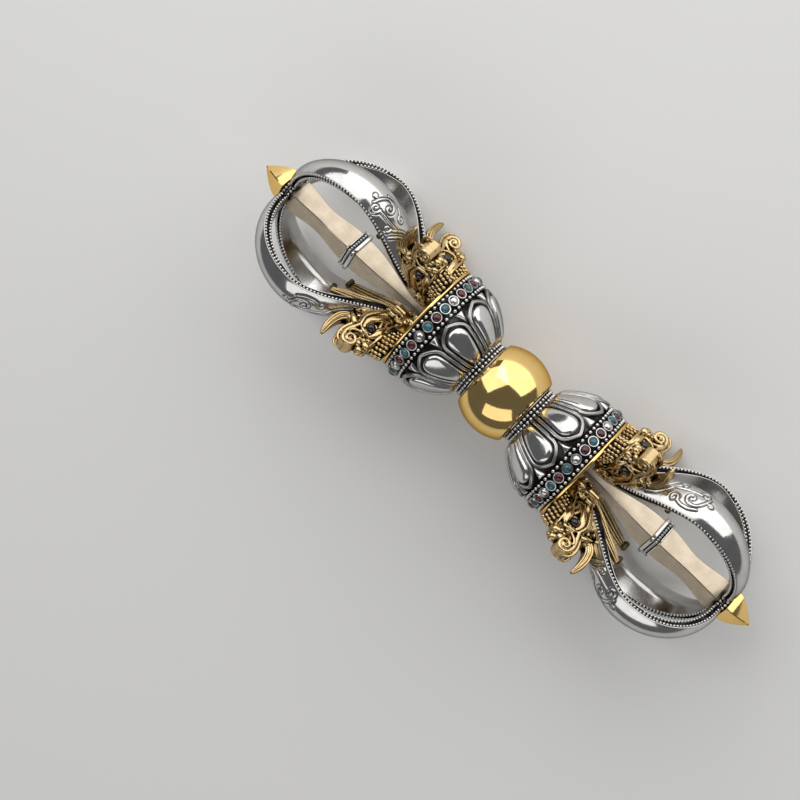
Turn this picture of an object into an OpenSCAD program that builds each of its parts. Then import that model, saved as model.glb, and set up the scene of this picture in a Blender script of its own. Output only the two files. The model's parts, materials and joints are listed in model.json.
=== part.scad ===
// Dorje vajra, a double-ended ritual sceptre, lying along X with its ball centred on the origin.
// Each end stacks outward from the ball: neck collar, lotus cup, gem band, rim plate, cage and finial.

/* [Hub ball] */
// Diameter of the polished ball
ball_d = 30.2; // [28:0.1:32]
// Distance between the two flats of the ball
ball_flats = 18.2; // [17:0.1:20]

/* [Tie rod] */
// Diameter of the rod through the hub
rod_d = 8; // [6:0.1:9]
// Diameter of the riveted spigot at each end of the rod
spigot_d = 5; // [4:0.1:5.8]
// Radial clearance between the rod and the pieces that it passes through
rod_fit = 0.05; // [0.02:0.01:0.1]

/* [Neck collars] */
// Length of a collar along the axis
collar_len = 3.4; // [3:0.1:4.4]
// Diameter over the bead rows
collar_d = 21.4; // [19:0.1:22]
// Diameter of the beads
collar_bead_d = 1.4; // [1:0.1:1.5]

/* [Lotus cups] */
// Length of a cup along the axis
cup_len = 14.4; // [12:0.1:17]
// Diameter of the cup's ground at the neck
cup_neck_d = 20.8; // [20:0.1:24]
// Flare of the cup's side, from domed at low values to conical at high ones
cup_flare = 0.8; // [0.6:0.05:1]
// Step from the cup's mouth up to the gem band's ground
cup_step = 0.2; // [0:0.05:0.4]
// Thickness of the cup's wall
cup_wall = 2.4; // [1.8:0.1:3]
// Height of the petals over the ground
petal_rise = 1.1; // [0.6:0.1:1.6]
// Turn of the right cup's petals about the axis, in degrees
right_petal_turn = 30; // [0:1:36]
// Turn of the left cup's petals about the axis, in degrees
left_petal_turn = 19; // [0:1:36]

/* [Gem bands] */
// Length of a band along the axis
band_len = 6.8; // [6.6:0.1:9]
// Diameter of the band's ground
band_d = 38.4; // [37:0.1:40]
// Diameter of the beads in the two rows
band_bead_d = 1.3; // [1:0.1:1.4]
// Diameter of a stone
stone_d = 3; // [2.6:0.1:3.1]
// Height of a stone from its seat to its top
stone_h = 1.8; // [1.5:0.1:2.4]
// Wall of the bezel around a stone
bezel_wall = 0.3; // [0.2:0.05:0.3]
// Radial clearance of a stone in its bezel
stone_fit = 0.05; // [0.02:0.01:0.08]

/* [Rim plates] */
// How far a plate stands out past the gem band's ground
plate_lip = 0.6; // [0.2:0.05:1]
// Thickness of a plate
plate_t = 1; // [0.8:0.1:1.6]

/* [Ribs] */
// Largest radius of a rib's outer edge
rib_bulge_r = 28.6; // [26:0.1:30]
// Distance of the bulge from the rim plate
rib_bulge_s = 37; // [36:0.1:41]
// Distance of the rib's root from the rim plate
rib_root_s = 6.6; // [6:0.1:7.5]
// Radius of the rib's outer edge at its root
rib_root_r = 9.8; // [9.5:0.1:10.5]
// Largest width of a rib
rib_w = 11.6; // [8:0.1:12]
// Share of a rib's run at which it is widest
rib_wide = 0.42; // [0.38:0.01:0.5]
// Width of a rib at its root and at its tip
rib_end_w = 4; // [3.4:0.1:4.6]
// Thickness of a rib's middle at the bulge
rib_t = 2.8; // [2.4:0.1:3.4]
// Thickness of a rib's edges at the bulge
rib_edge_t = 1.3; // [1:0.1:1.8]
// Thickness of a rib at its root and at its tip
rib_end_t = 2.8; // [2.4:0.1:2.9]
// Height of the outer face's crown
rib_crown = 2; // [1:0.1:2.2]
// Height of the inner face's keel
rib_keel = 0.4; // [0.2:0.1:0.8]
// Clearance of a rib in its makara's mouth
rib_fit = 0.12; // [0.05:0.01:0.2]

/* [Makara heads] */
// Length of a head from the rim plate to the tip of its jaw
head_len = 26; // [24:0.5:27]
// Half width of a head at the cheeks
head_hw = 4.5; // [4.2:0.1:5]
// Diameter of the nose curl
curl_d = 5; // [4.4:0.1:5.6]
// Diameter of an eye
eye_d = 2.8; // [2.2:0.1:3.2]
// Diameter of the tenon in the rim plate
tenon_d = 2.4; // [2:0.1:3]
// Radial clearance of the tenon in its hole
tenon_fit = 0.06; // [0.03:0.01:0.1]

/* [Centre prongs] */
// Length of the straight root
prong_root_len = 6; // [5:0.5:8]
// Side of the bar at its root
prong_root_w = 2.4; // [2.4:0.1:3]
// Side of the bar where the prong collar sits
prong_seat_w = 8.1; // [7.6:0.1:8.6]
// Side of the bar at its waist
prong_waist_w = 6.4; // [5.6:0.1:7.2]
// Distance of the prong collar from the rim plate
prong_collar_s = 28.9; // [28:0.1:31]
// Length of the prong collar
prong_collar_len = 3.4; // [2.6:0.1:3.8]
// Side of the prong collar
prong_collar_w = 10.4; // [10:0.1:11.2]
// Clearance between the prong collar and the bar on each side
prong_collar_fit = 0.08; // [0.03:0.01:0.1]
// Diameter of the root stud in the tie rod
root_stud_d = 2; // [1.6:0.1:2.2]
// Length of the root stud
root_stud_len = 9; // [6:0.5:12]

/* [Tip rings and finials] */
// Distance of the bar's outer end from the rim plate
prong_end_s = 57.5; // [57:0.1:59]
// Diameter of the tip stud
tip_stud_d = 3; // [2.6:0.1:3.2]
// Length of the finial's thread on the stud
thread_len = 5; // [4:0.1:5.2]
// Radial clearance on the tip stud
stud_fit = 0.08; // [0.05:0.01:0.1]
// Length of the tip ring
ring_len = 3.3; // [2.8:0.1:3.8]
// Diameter over the ring's bead rows
ring_d = 8.6; // [8:0.1:9]
// Diameter of the ring's beads
ring_bead_d = 1.4; // [1:0.1:1.5]
// Gap around the ring and under the finial
ring_gap = 0.1; // [0.05:0.05:0.2]
// Side of the finial's base
finial_w = 8.3; // [7.6:0.1:9]
// Length of the finial
finial_len = 9.3; // [8:0.1:11]
// Fullness of the finial's sides
finial_swell = 1.65; // [1.3:0.05:2]

/* [Hidden] */
$fn = 72;

// Stations along the axis
ball_x = ball_flats / 2;
cup_x = ball_x + collar_len;
band_x = cup_x + cup_len;
plate_x = band_x + band_len;
cage_x = plate_x + plate_t;

// Diameters that follow the gem band
cup_mouth_d = band_d - 2 * cup_step;
plate_d = band_d + 2 * plate_lip;

// Row places
stone_count = 32;
petal_count = 10;
rib_angles = [45, 135, 225, 315];
stone_x = band_x + band_len / 2;
stone_seat_r = band_d / 2 - stone_d * 0.05;
bezel_r = stone_d / 2 + stone_fit + bezel_wall;
bezel_top_r = stone_seat_r + stone_h * 0.62;
tenon_r = head_len * 0.577;

// Tip stack
ring_s = prong_end_s + ring_gap;
finial_s = ring_s + ring_len + ring_gap;
stud_len = finial_s - prong_end_s + thread_len;
rib_end_r = ring_d / 2 + ring_gap * 3;
rib_end_s = finial_s - ring_gap * 8;

// Colours
silver = [0.78, 0.78, 0.76];
dark_silver = [0.45, 0.45, 0.44];
warm_silver = [0.68, 0.65, 0.6];
gold = [0.85, 0.68, 0.32];
old_gold = [0.66, 0.5, 0.26];
turquoise = [0.25, 0.62, 0.68];
garnet = [0.5, 0.06, 0.08];

// Turns a piece of the right end into the same piece of the left end
module left_side() {
    rotate([0, 0, 180]) children();
}

// Turns a piece built over +Z to an angle from +Z toward +Y
module at_angle(angle) {
    rotate([-angle, 0, 0]) children();
}

// A plain ring about the axis, from one station to another
module tube(x0, x1, r_out, r_in) {
    translate([x0, 0, 0]) rotate([0, 90, 0]) difference() {
        cylinder(r = r_out, h = x1 - x0);
        translate([0, 0, -1]) cylinder(r = r_in, h = x1 - x0 + 2);
    }
}

// A row of beads drawn as the wire that the beads are cut from
module bead_row(x, r_over, bead_d) {
    translate([x, 0, 0]) rotate([0, 90, 0])
        rotate_extrude() translate([r_over - bead_d / 2, 0]) circle(d = bead_d);
}

// Hub ball
module hub_ball() {
    color(gold) difference() {
        intersection() {
            sphere(d = ball_d);
            cube([ball_flats, 2 * ball_d, 2 * ball_d], center = true);
        }
        rotate([0, 90, 0]) cylinder(r = rod_d / 2 + rod_fit, h = 2 * ball_d, center = true);
    }
}

// Tie rod with a riveted spigot and a threaded hole at each end
module hub_rod() {
    color(warm_silver) difference() {
        union() {
            rotate([0, 90, 0]) cylinder(d = rod_d, h = 2 * plate_x, center = true);
            rotate([0, 90, 0]) cylinder(d = spigot_d, h = 2 * cage_x, center = true);
        }
        for (turn = [0, 180])
            rotate([0, 0, turn]) translate([cage_x - root_stud_len - 1, 0, 0]) rotate([0, 90, 0])
                cylinder(r = root_stud_d / 2 + stud_fit, h = root_stud_len + 2);
    }
}

// Neck collar
module neck_collar() {
    union() {
        tube(ball_x, cup_x, collar_d / 2 - collar_bead_d * 0.6, rod_d / 2 + rod_fit);
        for (place = [0.36, 0.78])
            bead_row(ball_x + collar_len * place, collar_d / 2, collar_bead_d);
    }
}

// Radius of the cup's ground at a share of its length
function cup_r(t) = cup_neck_d / 2 + (cup_mouth_d - cup_neck_d) / 2 * pow(sin(90 * t), cup_flare);

// Half width of a petal at a share of its length
function petal_half(t) = cup_mouth_d * (0.737 + 0.653 * t) / petal_count
    * sqrt(max(0.0004, 1 - pow(max(0, (t - 0.5) / 0.5), 2.4)));

cup_steps = 14;

// Shell of the cup between two offsets from its ground
module cup_shell(low, high, t0, t1) {
    outer = [for (i = [0 : cup_steps]) let (t = t0 + (t1 - t0) * i / cup_steps)
        [cup_r(t) + high, cup_x + cup_len * t]];
    inner = [for (i = [cup_steps : -1 : 0]) let (t = t0 + (t1 - t0) * i / cup_steps)
        [cup_r(t) + low, cup_x + cup_len * t]];
    rotate([0, 90, 0]) rotate_extrude() polygon(concat(outer, inner));
}

// One petal's outline, pushed out through the wall
module petal_prism() {
    side = [for (i = [0 : 16]) let (t = 0.02 + 0.93 * i / 16)
        [cup_x + cup_len * t, petal_half(t / 0.95)]];
    back = [for (i = [16 : -1 : 0]) [side[i][0], -side[i][1]]];
    translate([0, 0, cup_neck_d * 0.28]) linear_extrude(height = cup_mouth_d / 2)
        polygon(concat(side, back));
}

// Lotus cup
module lotus_cup(turn) {
    difference() {
        union() {
            cup_shell(-cup_wall, 0, 0, 1);
            tube(cup_x, cup_x + cup_wall, cup_neck_d / 2 - cup_wall * 0.1, rod_d / 2);
            for (i = [0 : petal_count - 1])
                at_angle(turn + i * 360 / petal_count) intersection() {
                    cup_shell(-cup_wall / 2, petal_rise, 0.02, 0.95);
                    petal_prism();
                }
        }
        rotate([0, 90, 0]) cylinder(r = rod_d / 2 + rod_fit, h = 2 * cage_x);
    }
}

// Gem band with its bezels
module gem_band(turn) {
    difference() {
        union() {
            tube(band_x, plate_x, band_d / 2, cup_mouth_d / 2 - cup_wall);
            bead_row(band_x + band_bead_d * 0.55, band_d / 2 + band_bead_d * 0.6, band_bead_d);
            bead_row(plate_x - band_bead_d * 0.55, band_d / 2 + band_bead_d * 0.6, band_bead_d);
            for (i = [0 : stone_count - 1])
                at_angle(turn + i * 360 / stone_count)
                    translate([stone_x, 0, band_d / 2 - 1])
                        cylinder(r = bezel_r, h = bezel_top_r - band_d / 2 + 1);
        }
        for (i = [0 : stone_count - 1])
            at_angle(turn + i * 360 / stone_count)
                translate([stone_x, 0, stone_seat_r])
                    cylinder(r = stone_d / 2 + stone_fit, h = 2 * stone_h);
    }
}

// One round stone with a domed top, standing on its seat
module cabochon() {
    wall = stone_h * 0.52;
    cap = stone_h - wall;
    dome_r = (pow(stone_d / 2, 2) + pow(cap, 2)) / (2 * cap);
    intersection() {
        cylinder(d = stone_d, h = stone_h + 1);
        translate([0, 0, stone_h - dome_r]) sphere(r = dome_r);
    }
}

// The stones of one kind: places counted from the first silver stud, in a run of eight
module stones(turn, places) {
    for (run = [0 : stone_count / 8 - 1])
        for (place = places)
            at_angle(turn + (run * 8 + place) * 360 / stone_count)
                translate([stone_x, 0, stone_seat_r]) cabochon();
}

stud_places = [0, 4];
garnet_places = [1, 3, 6];
turquoise_places = [2, 5, 7];
right_turn = 360 / stone_count;
left_turn = 360 / stone_count / 2;

// Rim plate
module rim_plate() {
    difference() {
        translate([plate_x, 0, 0]) rotate([0, 90, 0]) cylinder(d = plate_d, h = plate_t);
        translate([plate_x - 1, 0, 0]) rotate([0, 90, 0])
            cylinder(r = spigot_d / 2 + rod_fit, h = plate_t + 2);
        for (angle = rib_angles)
            at_angle(angle) translate([plate_x - 1, 0, tenon_r]) rotate([0, 90, 0])
                cylinder(r = tenon_d / 2 + tenon_fit, h = plate_t + 2);
    }
}

// Rib curve: place [distance from the plate, radius] of the outer edge, for u from 0 to 2
function rib_edge(u) = u <= 1
    ? [rib_root_s + (rib_bulge_s - rib_root_s) * u,
       rib_root_r + (rib_bulge_r - rib_root_r) * pow(sin(90 * max(u, 0)), 1.25)]
    : [rib_bulge_s + (rib_end_s - rib_bulge_s) * sin(90 * (u - 1)),
       rib_end_r + (rib_bulge_r - rib_end_r) * cos(90 * (u - 1))];

// Direction away from the axis side, square to the curve
function rib_out(u) = let (
    d = rib_edge(min(u + 0.01, 2)) - rib_edge(max(u - 0.01, 0)),
    n = norm(d))
    [-d[1] / n, d[0] / n];

function rib_half(u) = (rib_end_w + (rib_w - rib_end_w)
    * sin(180 * pow(u / 2, ln(0.5) / ln(rib_wide)))) / 2;
function rib_thick(u) = rib_end_t + (rib_t - rib_end_t) * sin(90 * u);
function rib_edge_thick(u) = rib_edge_t + (rib_end_t - rib_edge_t)
    * (u <= 1 ? pow(cos(90 * u), 2) : pow(sin(90 * (u - 1)), 0.7));
function rib_top(u) = rib_crown * (0.35 + 0.65 * sin(90 * u));

// Cross-section as [across, outward], grown by a clearance
function rib_section(u, grow) = let (
    h = rib_half(u) + grow,
    t = rib_thick(u) + rib_keel + grow,
    e = rib_edge_thick(u) + grow,
    c = rib_top(u))
    concat([[-h, -e]],
        [for (v = [-1, -0.75, -0.4, 0, 0.4, 0.75, 1]) [v * h, (1 - v * v) * c + grow]],
        [[h, -e], [0, -t]]);

// A rib over +Z, between two places of its curve
module rib_sweep(u0, u1, steps, grow) {
    points = [for (i = [0 : steps]) let (
        u = u0 + (u1 - u0) * i / steps,
        e = rib_edge(u),
        o = rib_out(u))
        for (q = rib_section(u, grow))
            [cage_x + e[0] + o[0] * q[1] - (i == 0 ? grow : 0), q[0], e[1] + o[1] * q[1]]];
    ring = len(rib_section(u0, grow));
    skin = [for (i = [0 : steps - 1]) for (k = [0 : ring - 1]) for (half = [0, 1])
        let (a = i * ring + k, b = i * ring + (k + 1) % ring)
        half == 0 ? [a, b, b + ring] : [a, b + ring, a + ring]];
    first = [for (k = [1 : ring - 2]) [ring - 1, k, k - 1]];
    last = [for (k = [1 : ring - 2]) [steps * ring + ring - 1, steps * ring + k - 1, steps * ring + k]];
    polyhedron(points = points, faces = concat(skin, first, last));
}

// Rib
module rib(number) {
    at_angle(rib_angles[number - 1]) rib_sweep(0, 2, 26, 0);
}

// Drawing unit of a head along its length and height, and across its width
head_unit = head_len / 26;
cheek_unit = head_hw / 4.5;

// A thin upright oval of a head: distance from the plate, radius, half height, half width
module oval(place) {
    translate([cage_x + place[0] * head_unit, 0, place[1] * head_unit]) rotate([0, 90, 0])
        scale([place[2] * head_unit, place[3] * cheek_unit, head_unit])
            cylinder(r = 1, h = 0.05, $fn = 12);
}

// A thin oval turned by a lean, for the snout that curls away from the rib
module leaning_oval(place) {
    translate([cage_x + place[0] * head_unit, 0, place[1] * head_unit]) rotate([0, place[4], 0])
        scale([place[2] * head_unit, place[3] * cheek_unit, head_unit])
            cylinder(r = 1, h = 0.05, $fn = 10);
}

// Joins neighbouring ovals into one smooth form
module loft(places) {
    for (i = [0 : len(places) - 2])
        hull() {
            oval(places[i]);
            oval(places[i + 1]);
        }
}

// Makara head over +Z, cut out for its rib
module makara_form() {
    skull = [[0, 16.4, 5.6, 3.6], [3, 17, 6.2, 4.5], [7, 18.6, 5.8, 4.5],
        [10.5, 21, 4.8, 4], [13.5, 23.2, 3.4, 3.4]];
    jaw = [[0, 10.2, 3.2, 2.8], [5, 9.8, 4, 3.3], [9, 9.2, 3, 2.9],
        [13, 10.4, 1.7, 2.5], [18, 12.6, 1.4, 2.2],
        [22, 15, 1.3, 2], [26, 17.6, 0.8, 1.4]];
    snout = [[12.5, 22.4, 2, 3.2, 90], [15.5, 22.6, 1.6, 3, 70],
        [18.9, 26.6, 1.2, 2.5, 15], [18.4, 31.4, 0.5, 0.9, -12]];
    difference() {
        union() {
            loft(skull);
            loft(jaw);
            for (i = [0 : 2])
                hull() {
                    leaning_oval(snout[i]);
                    leaning_oval(snout[i + 1]);
                }
            for (side = [-1, 1]) {
                translate([cage_x + 11.2 * head_unit, side * head_hw * 0.56, 26.6 * head_unit])
                    rotate([90, 0, 0])
                        cylinder(d = curl_d, h = 2.4 * cheek_unit, center = true, $fn = 14);
                translate([cage_x + 8.7 * head_unit, side * head_hw * 0.84, 19.6 * head_unit])
                    sphere(d = eye_d, $fn = 8);
                translate([cage_x + 12.6 * head_unit, side * 2.7 * cheek_unit, 21.6 * head_unit])
                    rotate([0, 112, 0]) scale(head_unit)
                        cylinder(d1 = 1.9, d2 = 0.3, h = 4.2, $fn = 7);
            }
            for (ridge = [0 : 4])
                translate([cage_x + (1.2 + ridge * 1.9) * head_unit, 0,
                    (21.6 + 2.6 * sin(18 * ridge)) * head_unit])
                    rotate([90, 0, 0]) scale([head_unit, head_unit, 1])
                        cylinder(d = 2, h = head_hw * 1.5, center = true, $fn = 8);
            translate([cage_x - plate_t, 0, tenon_r]) rotate([0, 90, 0])
                cylinder(d = tenon_d, h = plate_t + 1, $fn = 16);
        }
        rib_sweep(0, 0.8, 8, rib_fit);
    }
}

// Makara head
module makara(number) {
    at_angle(rib_angles[number - 1]) makara_form();
}

// Side of the bar along the prong
function prong_low(s) = prong_root_w + (prong_seat_w - prong_root_w)
    * pow(sin(90 * min(1, max(0, (s - prong_root_len) / (prong_collar_s - prong_root_len)))), 1.4);
prong_seat_gap = prong_collar_len * 0.107;
prong_seat_end_s = prong_collar_s + prong_collar_len + 2 * prong_seat_gap;
prong_shoulder_s = prong_end_s - 1;
function prong_high(s) = prong_seat_w - (prong_seat_w - prong_waist_w)
    * pow(sin(180 * (s - prong_seat_end_s) / (prong_shoulder_s - prong_seat_end_s)), 2);

// Outline of the bar from one side
function prong_outline() = concat(
    [[0, prong_root_w / 2]],
    [for (i = [0 : 10]) let (s = prong_root_len + (prong_collar_s - prong_root_len) * i / 10)
        [s, prong_low(s) / 2]],
    [for (i = [0 : 14]) let (s = prong_seat_end_s + (prong_shoulder_s - prong_seat_end_s) * i / 14)
        [s, prong_high(s) / 2]],
    [[prong_end_s, prong_seat_w * 0.4]]);

// A square bar whose four sides all have the same outline
module square_bar(outline) {
    loop = concat(outline, [for (i = [len(outline) - 1 : -1 : 0]) [outline[i][0], -outline[i][1]]]);
    intersection() {
        linear_extrude(height = 4 * prong_collar_w, center = true) polygon(loop);
        rotate([90, 0, 0]) linear_extrude(height = 4 * prong_collar_w, center = true) polygon(loop);
    }
}

// Centre prong with a root stud and a tip stud
module prong() {
    translate([cage_x, 0, 0]) at_angle(45) union() {
        square_bar(prong_outline());
        translate([-root_stud_len, 0, 0]) rotate([0, 90, 0])
            cylinder(d = root_stud_d, h = root_stud_len + 1);
        translate([prong_end_s - 1, 0, 0]) rotate([0, 90, 0])
            cylinder(d = tip_stud_d, h = stud_len + 1);
    }
}

// Prong collar
module prong_collar() {
    lip = prong_collar_len * 0.32;
    core = prong_collar_w * 0.913;
    bore = prong_seat_w + 2 * prong_collar_fit;
    translate([cage_x + prong_collar_s + prong_seat_gap, 0, 0]) at_angle(45) difference() {
        union() {
            translate([prong_collar_len / 2, 0, 0])
                cube([prong_collar_len, core, core], center = true);
            for (x = [lip / 2, prong_collar_len - lip / 2])
                translate([x, 0, 0]) cube([lip, prong_collar_w, prong_collar_w], center = true);
        }
        cube([4 * prong_collar_len, bore, bore], center = true);
    }
}

// Tip ring
module tip_ring() {
    union() {
        tube(cage_x + ring_s, cage_x + ring_s + ring_len, ring_d / 2 - ring_bead_d * 0.55,
            tip_stud_d / 2 + stud_fit);
        for (x = [ring_s + ring_bead_d * 0.55, ring_s + ring_len - ring_bead_d * 0.55])
            bead_row(cage_x + x, ring_d / 2, ring_bead_d);
    }
}

// Finial
function finial_outline() = [for (i = [0 : 14]) let (t = i / 14)
    [finial_len * t, finial_w / 2 * (1 - 0.96 * pow(t, finial_swell))]];

module finial() {
    translate([cage_x + finial_s, 0, 0]) at_angle(45) difference() {
        square_bar(finial_outline());
        translate([-1, 0, 0]) rotate([0, 90, 0])
            cylinder(r = tip_stud_d / 2 + stud_fit, h = thread_len * 1.06 + 1);
    }
}

// Pieces of the right end
module right_neck_collar() color(silver) neck_collar();
module right_lotus_cup() color(silver) lotus_cup(right_petal_turn);
module right_gem_band() color(dark_silver) gem_band(right_turn);
module right_rim_plate() color(gold) rim_plate();
module right_turquoise_stones() color(turquoise) stones(right_turn, turquoise_places);
module right_garnet_stones() color(garnet) stones(right_turn, garnet_places);
module right_silver_studs() color(silver) stones(right_turn, stud_places);
module right_makara_1() color(old_gold) makara(1);
module right_makara_2() color(old_gold) makara(2);
module right_makara_3() color(old_gold) makara(3);
module right_makara_4() color(old_gold) makara(4);
module right_rib_1() color(silver) rib(1);
module right_rib_2() color(silver) rib(2);
module right_rib_3() color(silver) rib(3);
module right_rib_4() color(silver) rib(4);
module right_prong() color(warm_silver) prong();
module right_prong_collar() color(dark_silver) prong_collar();
module right_tip_ring() color(silver) tip_ring();
module right_finial() color(gold) finial();

// Pieces of the left end
module left_neck_collar() color(silver) left_side() neck_collar();
module left_lotus_cup() color(silver) left_side() lotus_cup(left_petal_turn);
module left_gem_band() color(dark_silver) left_side() gem_band(left_turn);
module left_rim_plate() color(gold) left_side() rim_plate();
module left_turquoise_stones() color(turquoise) left_side() stones(left_turn, turquoise_places);
module left_garnet_stones() color(garnet) left_side() stones(left_turn, garnet_places);
module left_silver_studs() color(silver) left_side() stones(left_turn, stud_places);
module left_makara_1() color(old_gold) left_side() makara(1);
module left_makara_2() color(old_gold) left_side() makara(2);
module left_makara_3() color(old_gold) left_side() makara(3);
module left_makara_4() color(old_gold) left_side() makara(4);
module left_rib_1() color(silver) left_side() rib(1);
module left_rib_2() color(silver) left_side() rib(2);
module left_rib_3() color(silver) left_side() rib(3);
module left_rib_4() color(silver) left_side() rib(4);
module left_prong() color(warm_silver) left_side() prong();
module left_prong_collar() color(dark_silver) left_side() prong_collar();
module left_tip_ring() color(silver) left_side() tip_ring();
module left_finial() color(gold) left_side() finial();

hub_ball();
hub_rod();
right_neck_collar();
right_lotus_cup();
right_gem_band();
right_rim_plate();
right_turquoise_stones();
right_garnet_stones();
right_silver_studs();
right_makara_1();
right_makara_2();
right_makara_3();
right_makara_4();
right_rib_1();
right_rib_2();
right_rib_3();
right_rib_4();
right_prong();
right_prong_collar();
right_tip_ring();
right_finial();
left_neck_collar();
left_lotus_cup();
left_gem_band();
left_rim_plate();
left_turquoise_stones();
left_garnet_stones();
left_silver_studs();
left_makara_1();
left_makara_2();
left_makara_3();
left_makara_4();
left_rib_1();
left_rib_2();
left_rib_3();
left_rib_4();
left_prong();
left_prong_collar();
left_tip_ring();
left_finial();
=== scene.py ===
"""Dresses a dorje vajra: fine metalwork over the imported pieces, a pale floor and soft studio light."""

import json
import logging
import math
from collections.abc import Sequence
from dataclasses import dataclass, field
from enum import Enum

import bmesh
import bpy
import numpy as np
from mathutils import Matrix, Vector

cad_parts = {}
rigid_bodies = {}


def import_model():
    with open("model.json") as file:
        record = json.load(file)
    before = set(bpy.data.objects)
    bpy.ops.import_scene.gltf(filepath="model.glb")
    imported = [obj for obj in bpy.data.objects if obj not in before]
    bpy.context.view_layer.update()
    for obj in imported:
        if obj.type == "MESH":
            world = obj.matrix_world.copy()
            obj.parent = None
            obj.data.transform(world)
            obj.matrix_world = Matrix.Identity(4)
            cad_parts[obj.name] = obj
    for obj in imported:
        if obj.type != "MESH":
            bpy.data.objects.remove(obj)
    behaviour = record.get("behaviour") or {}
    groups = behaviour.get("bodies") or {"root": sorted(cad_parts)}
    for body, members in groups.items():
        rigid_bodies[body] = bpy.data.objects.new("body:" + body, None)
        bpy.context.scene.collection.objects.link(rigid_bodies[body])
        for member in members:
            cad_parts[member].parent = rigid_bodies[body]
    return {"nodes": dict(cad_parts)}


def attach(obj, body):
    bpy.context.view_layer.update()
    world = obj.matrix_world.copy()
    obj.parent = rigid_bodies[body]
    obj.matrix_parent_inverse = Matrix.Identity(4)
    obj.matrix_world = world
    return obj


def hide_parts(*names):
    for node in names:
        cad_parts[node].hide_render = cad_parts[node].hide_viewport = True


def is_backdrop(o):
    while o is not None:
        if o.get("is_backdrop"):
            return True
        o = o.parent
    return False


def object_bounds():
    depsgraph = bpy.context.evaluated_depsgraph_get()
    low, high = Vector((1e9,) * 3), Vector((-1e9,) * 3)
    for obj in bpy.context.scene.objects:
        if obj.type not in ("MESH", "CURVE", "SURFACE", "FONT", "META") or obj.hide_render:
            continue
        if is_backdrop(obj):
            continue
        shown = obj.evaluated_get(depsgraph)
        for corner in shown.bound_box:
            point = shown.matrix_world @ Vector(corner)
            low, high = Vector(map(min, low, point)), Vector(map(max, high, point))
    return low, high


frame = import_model()

LOG = logging.getLogger("vajra")
MM = 0.001
PLATE_FACE = 34.7  # station of the rim plates' outer faces, in millimetres
Colour = tuple[float, float, float]


class End(Enum):
    """The two ends of the sceptre; the left one is the right one turned half round."""

    RIGHT = "right"
    LEFT = "left"

    def piece(self, name: str) -> str:
        """Name of a piece of this end."""
        return f"{self.value}_{name}"

    def place(self, points: np.ndarray) -> np.ndarray:
        """Points of the right end moved to this end."""
        return points if self is End.RIGHT else points * np.array((-1.0, -1.0, 1.0))


class Slot(Enum):
    """Material slots of the record."""

    POLISHED_SILVER = "polished_silver"
    OXIDISED_SILVER = "oxidised_silver"
    AGED_SILVER = "aged_silver"
    POLISHED_GOLD = "polished_gold"
    ANTIQUE_GOLD = "antique_gold"
    TURQUOISE = "turquoise"
    GARNET = "garnet"


class Stone(Enum):
    """What sits in a bezel: places in a run of eight, and the piece's name."""

    STUD = ((0, 4), "silver_studs")
    GARNET = ((1, 3, 6), "garnet_stones")
    TURQUOISE = ((2, 5, 7), "turquoise_stones")


class Reading:
    """A node's output that takes part in plain arithmetic."""

    def __init__(self, board: "Board", socket: bpy.types.NodeSocket) -> None:
        """Keeps the output and the board that it belongs to."""
        self.board = board
        self.socket = socket

    def __add__(self, other: "Reading | float") -> "Reading":
        """Sum."""
        return self.board.maths("ADD", self, other)

    __radd__ = __add__

    def __sub__(self, other: "Reading | float") -> "Reading":
        """Difference."""
        return self.board.maths("SUBTRACT", self, other)

    def __rsub__(self, other: float) -> "Reading":
        """Difference from a number."""
        return self.board.maths("SUBTRACT", other, self)

    def __mul__(self, other: "Reading | float") -> "Reading":
        """Product."""
        return self.board.maths("MULTIPLY", self, other)

    __rmul__ = __mul__

    def held(self) -> "Reading":
        """The value held between 0 and 1."""
        return self.board.maths("ADD", self, 0.0, clamp=True)


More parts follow.
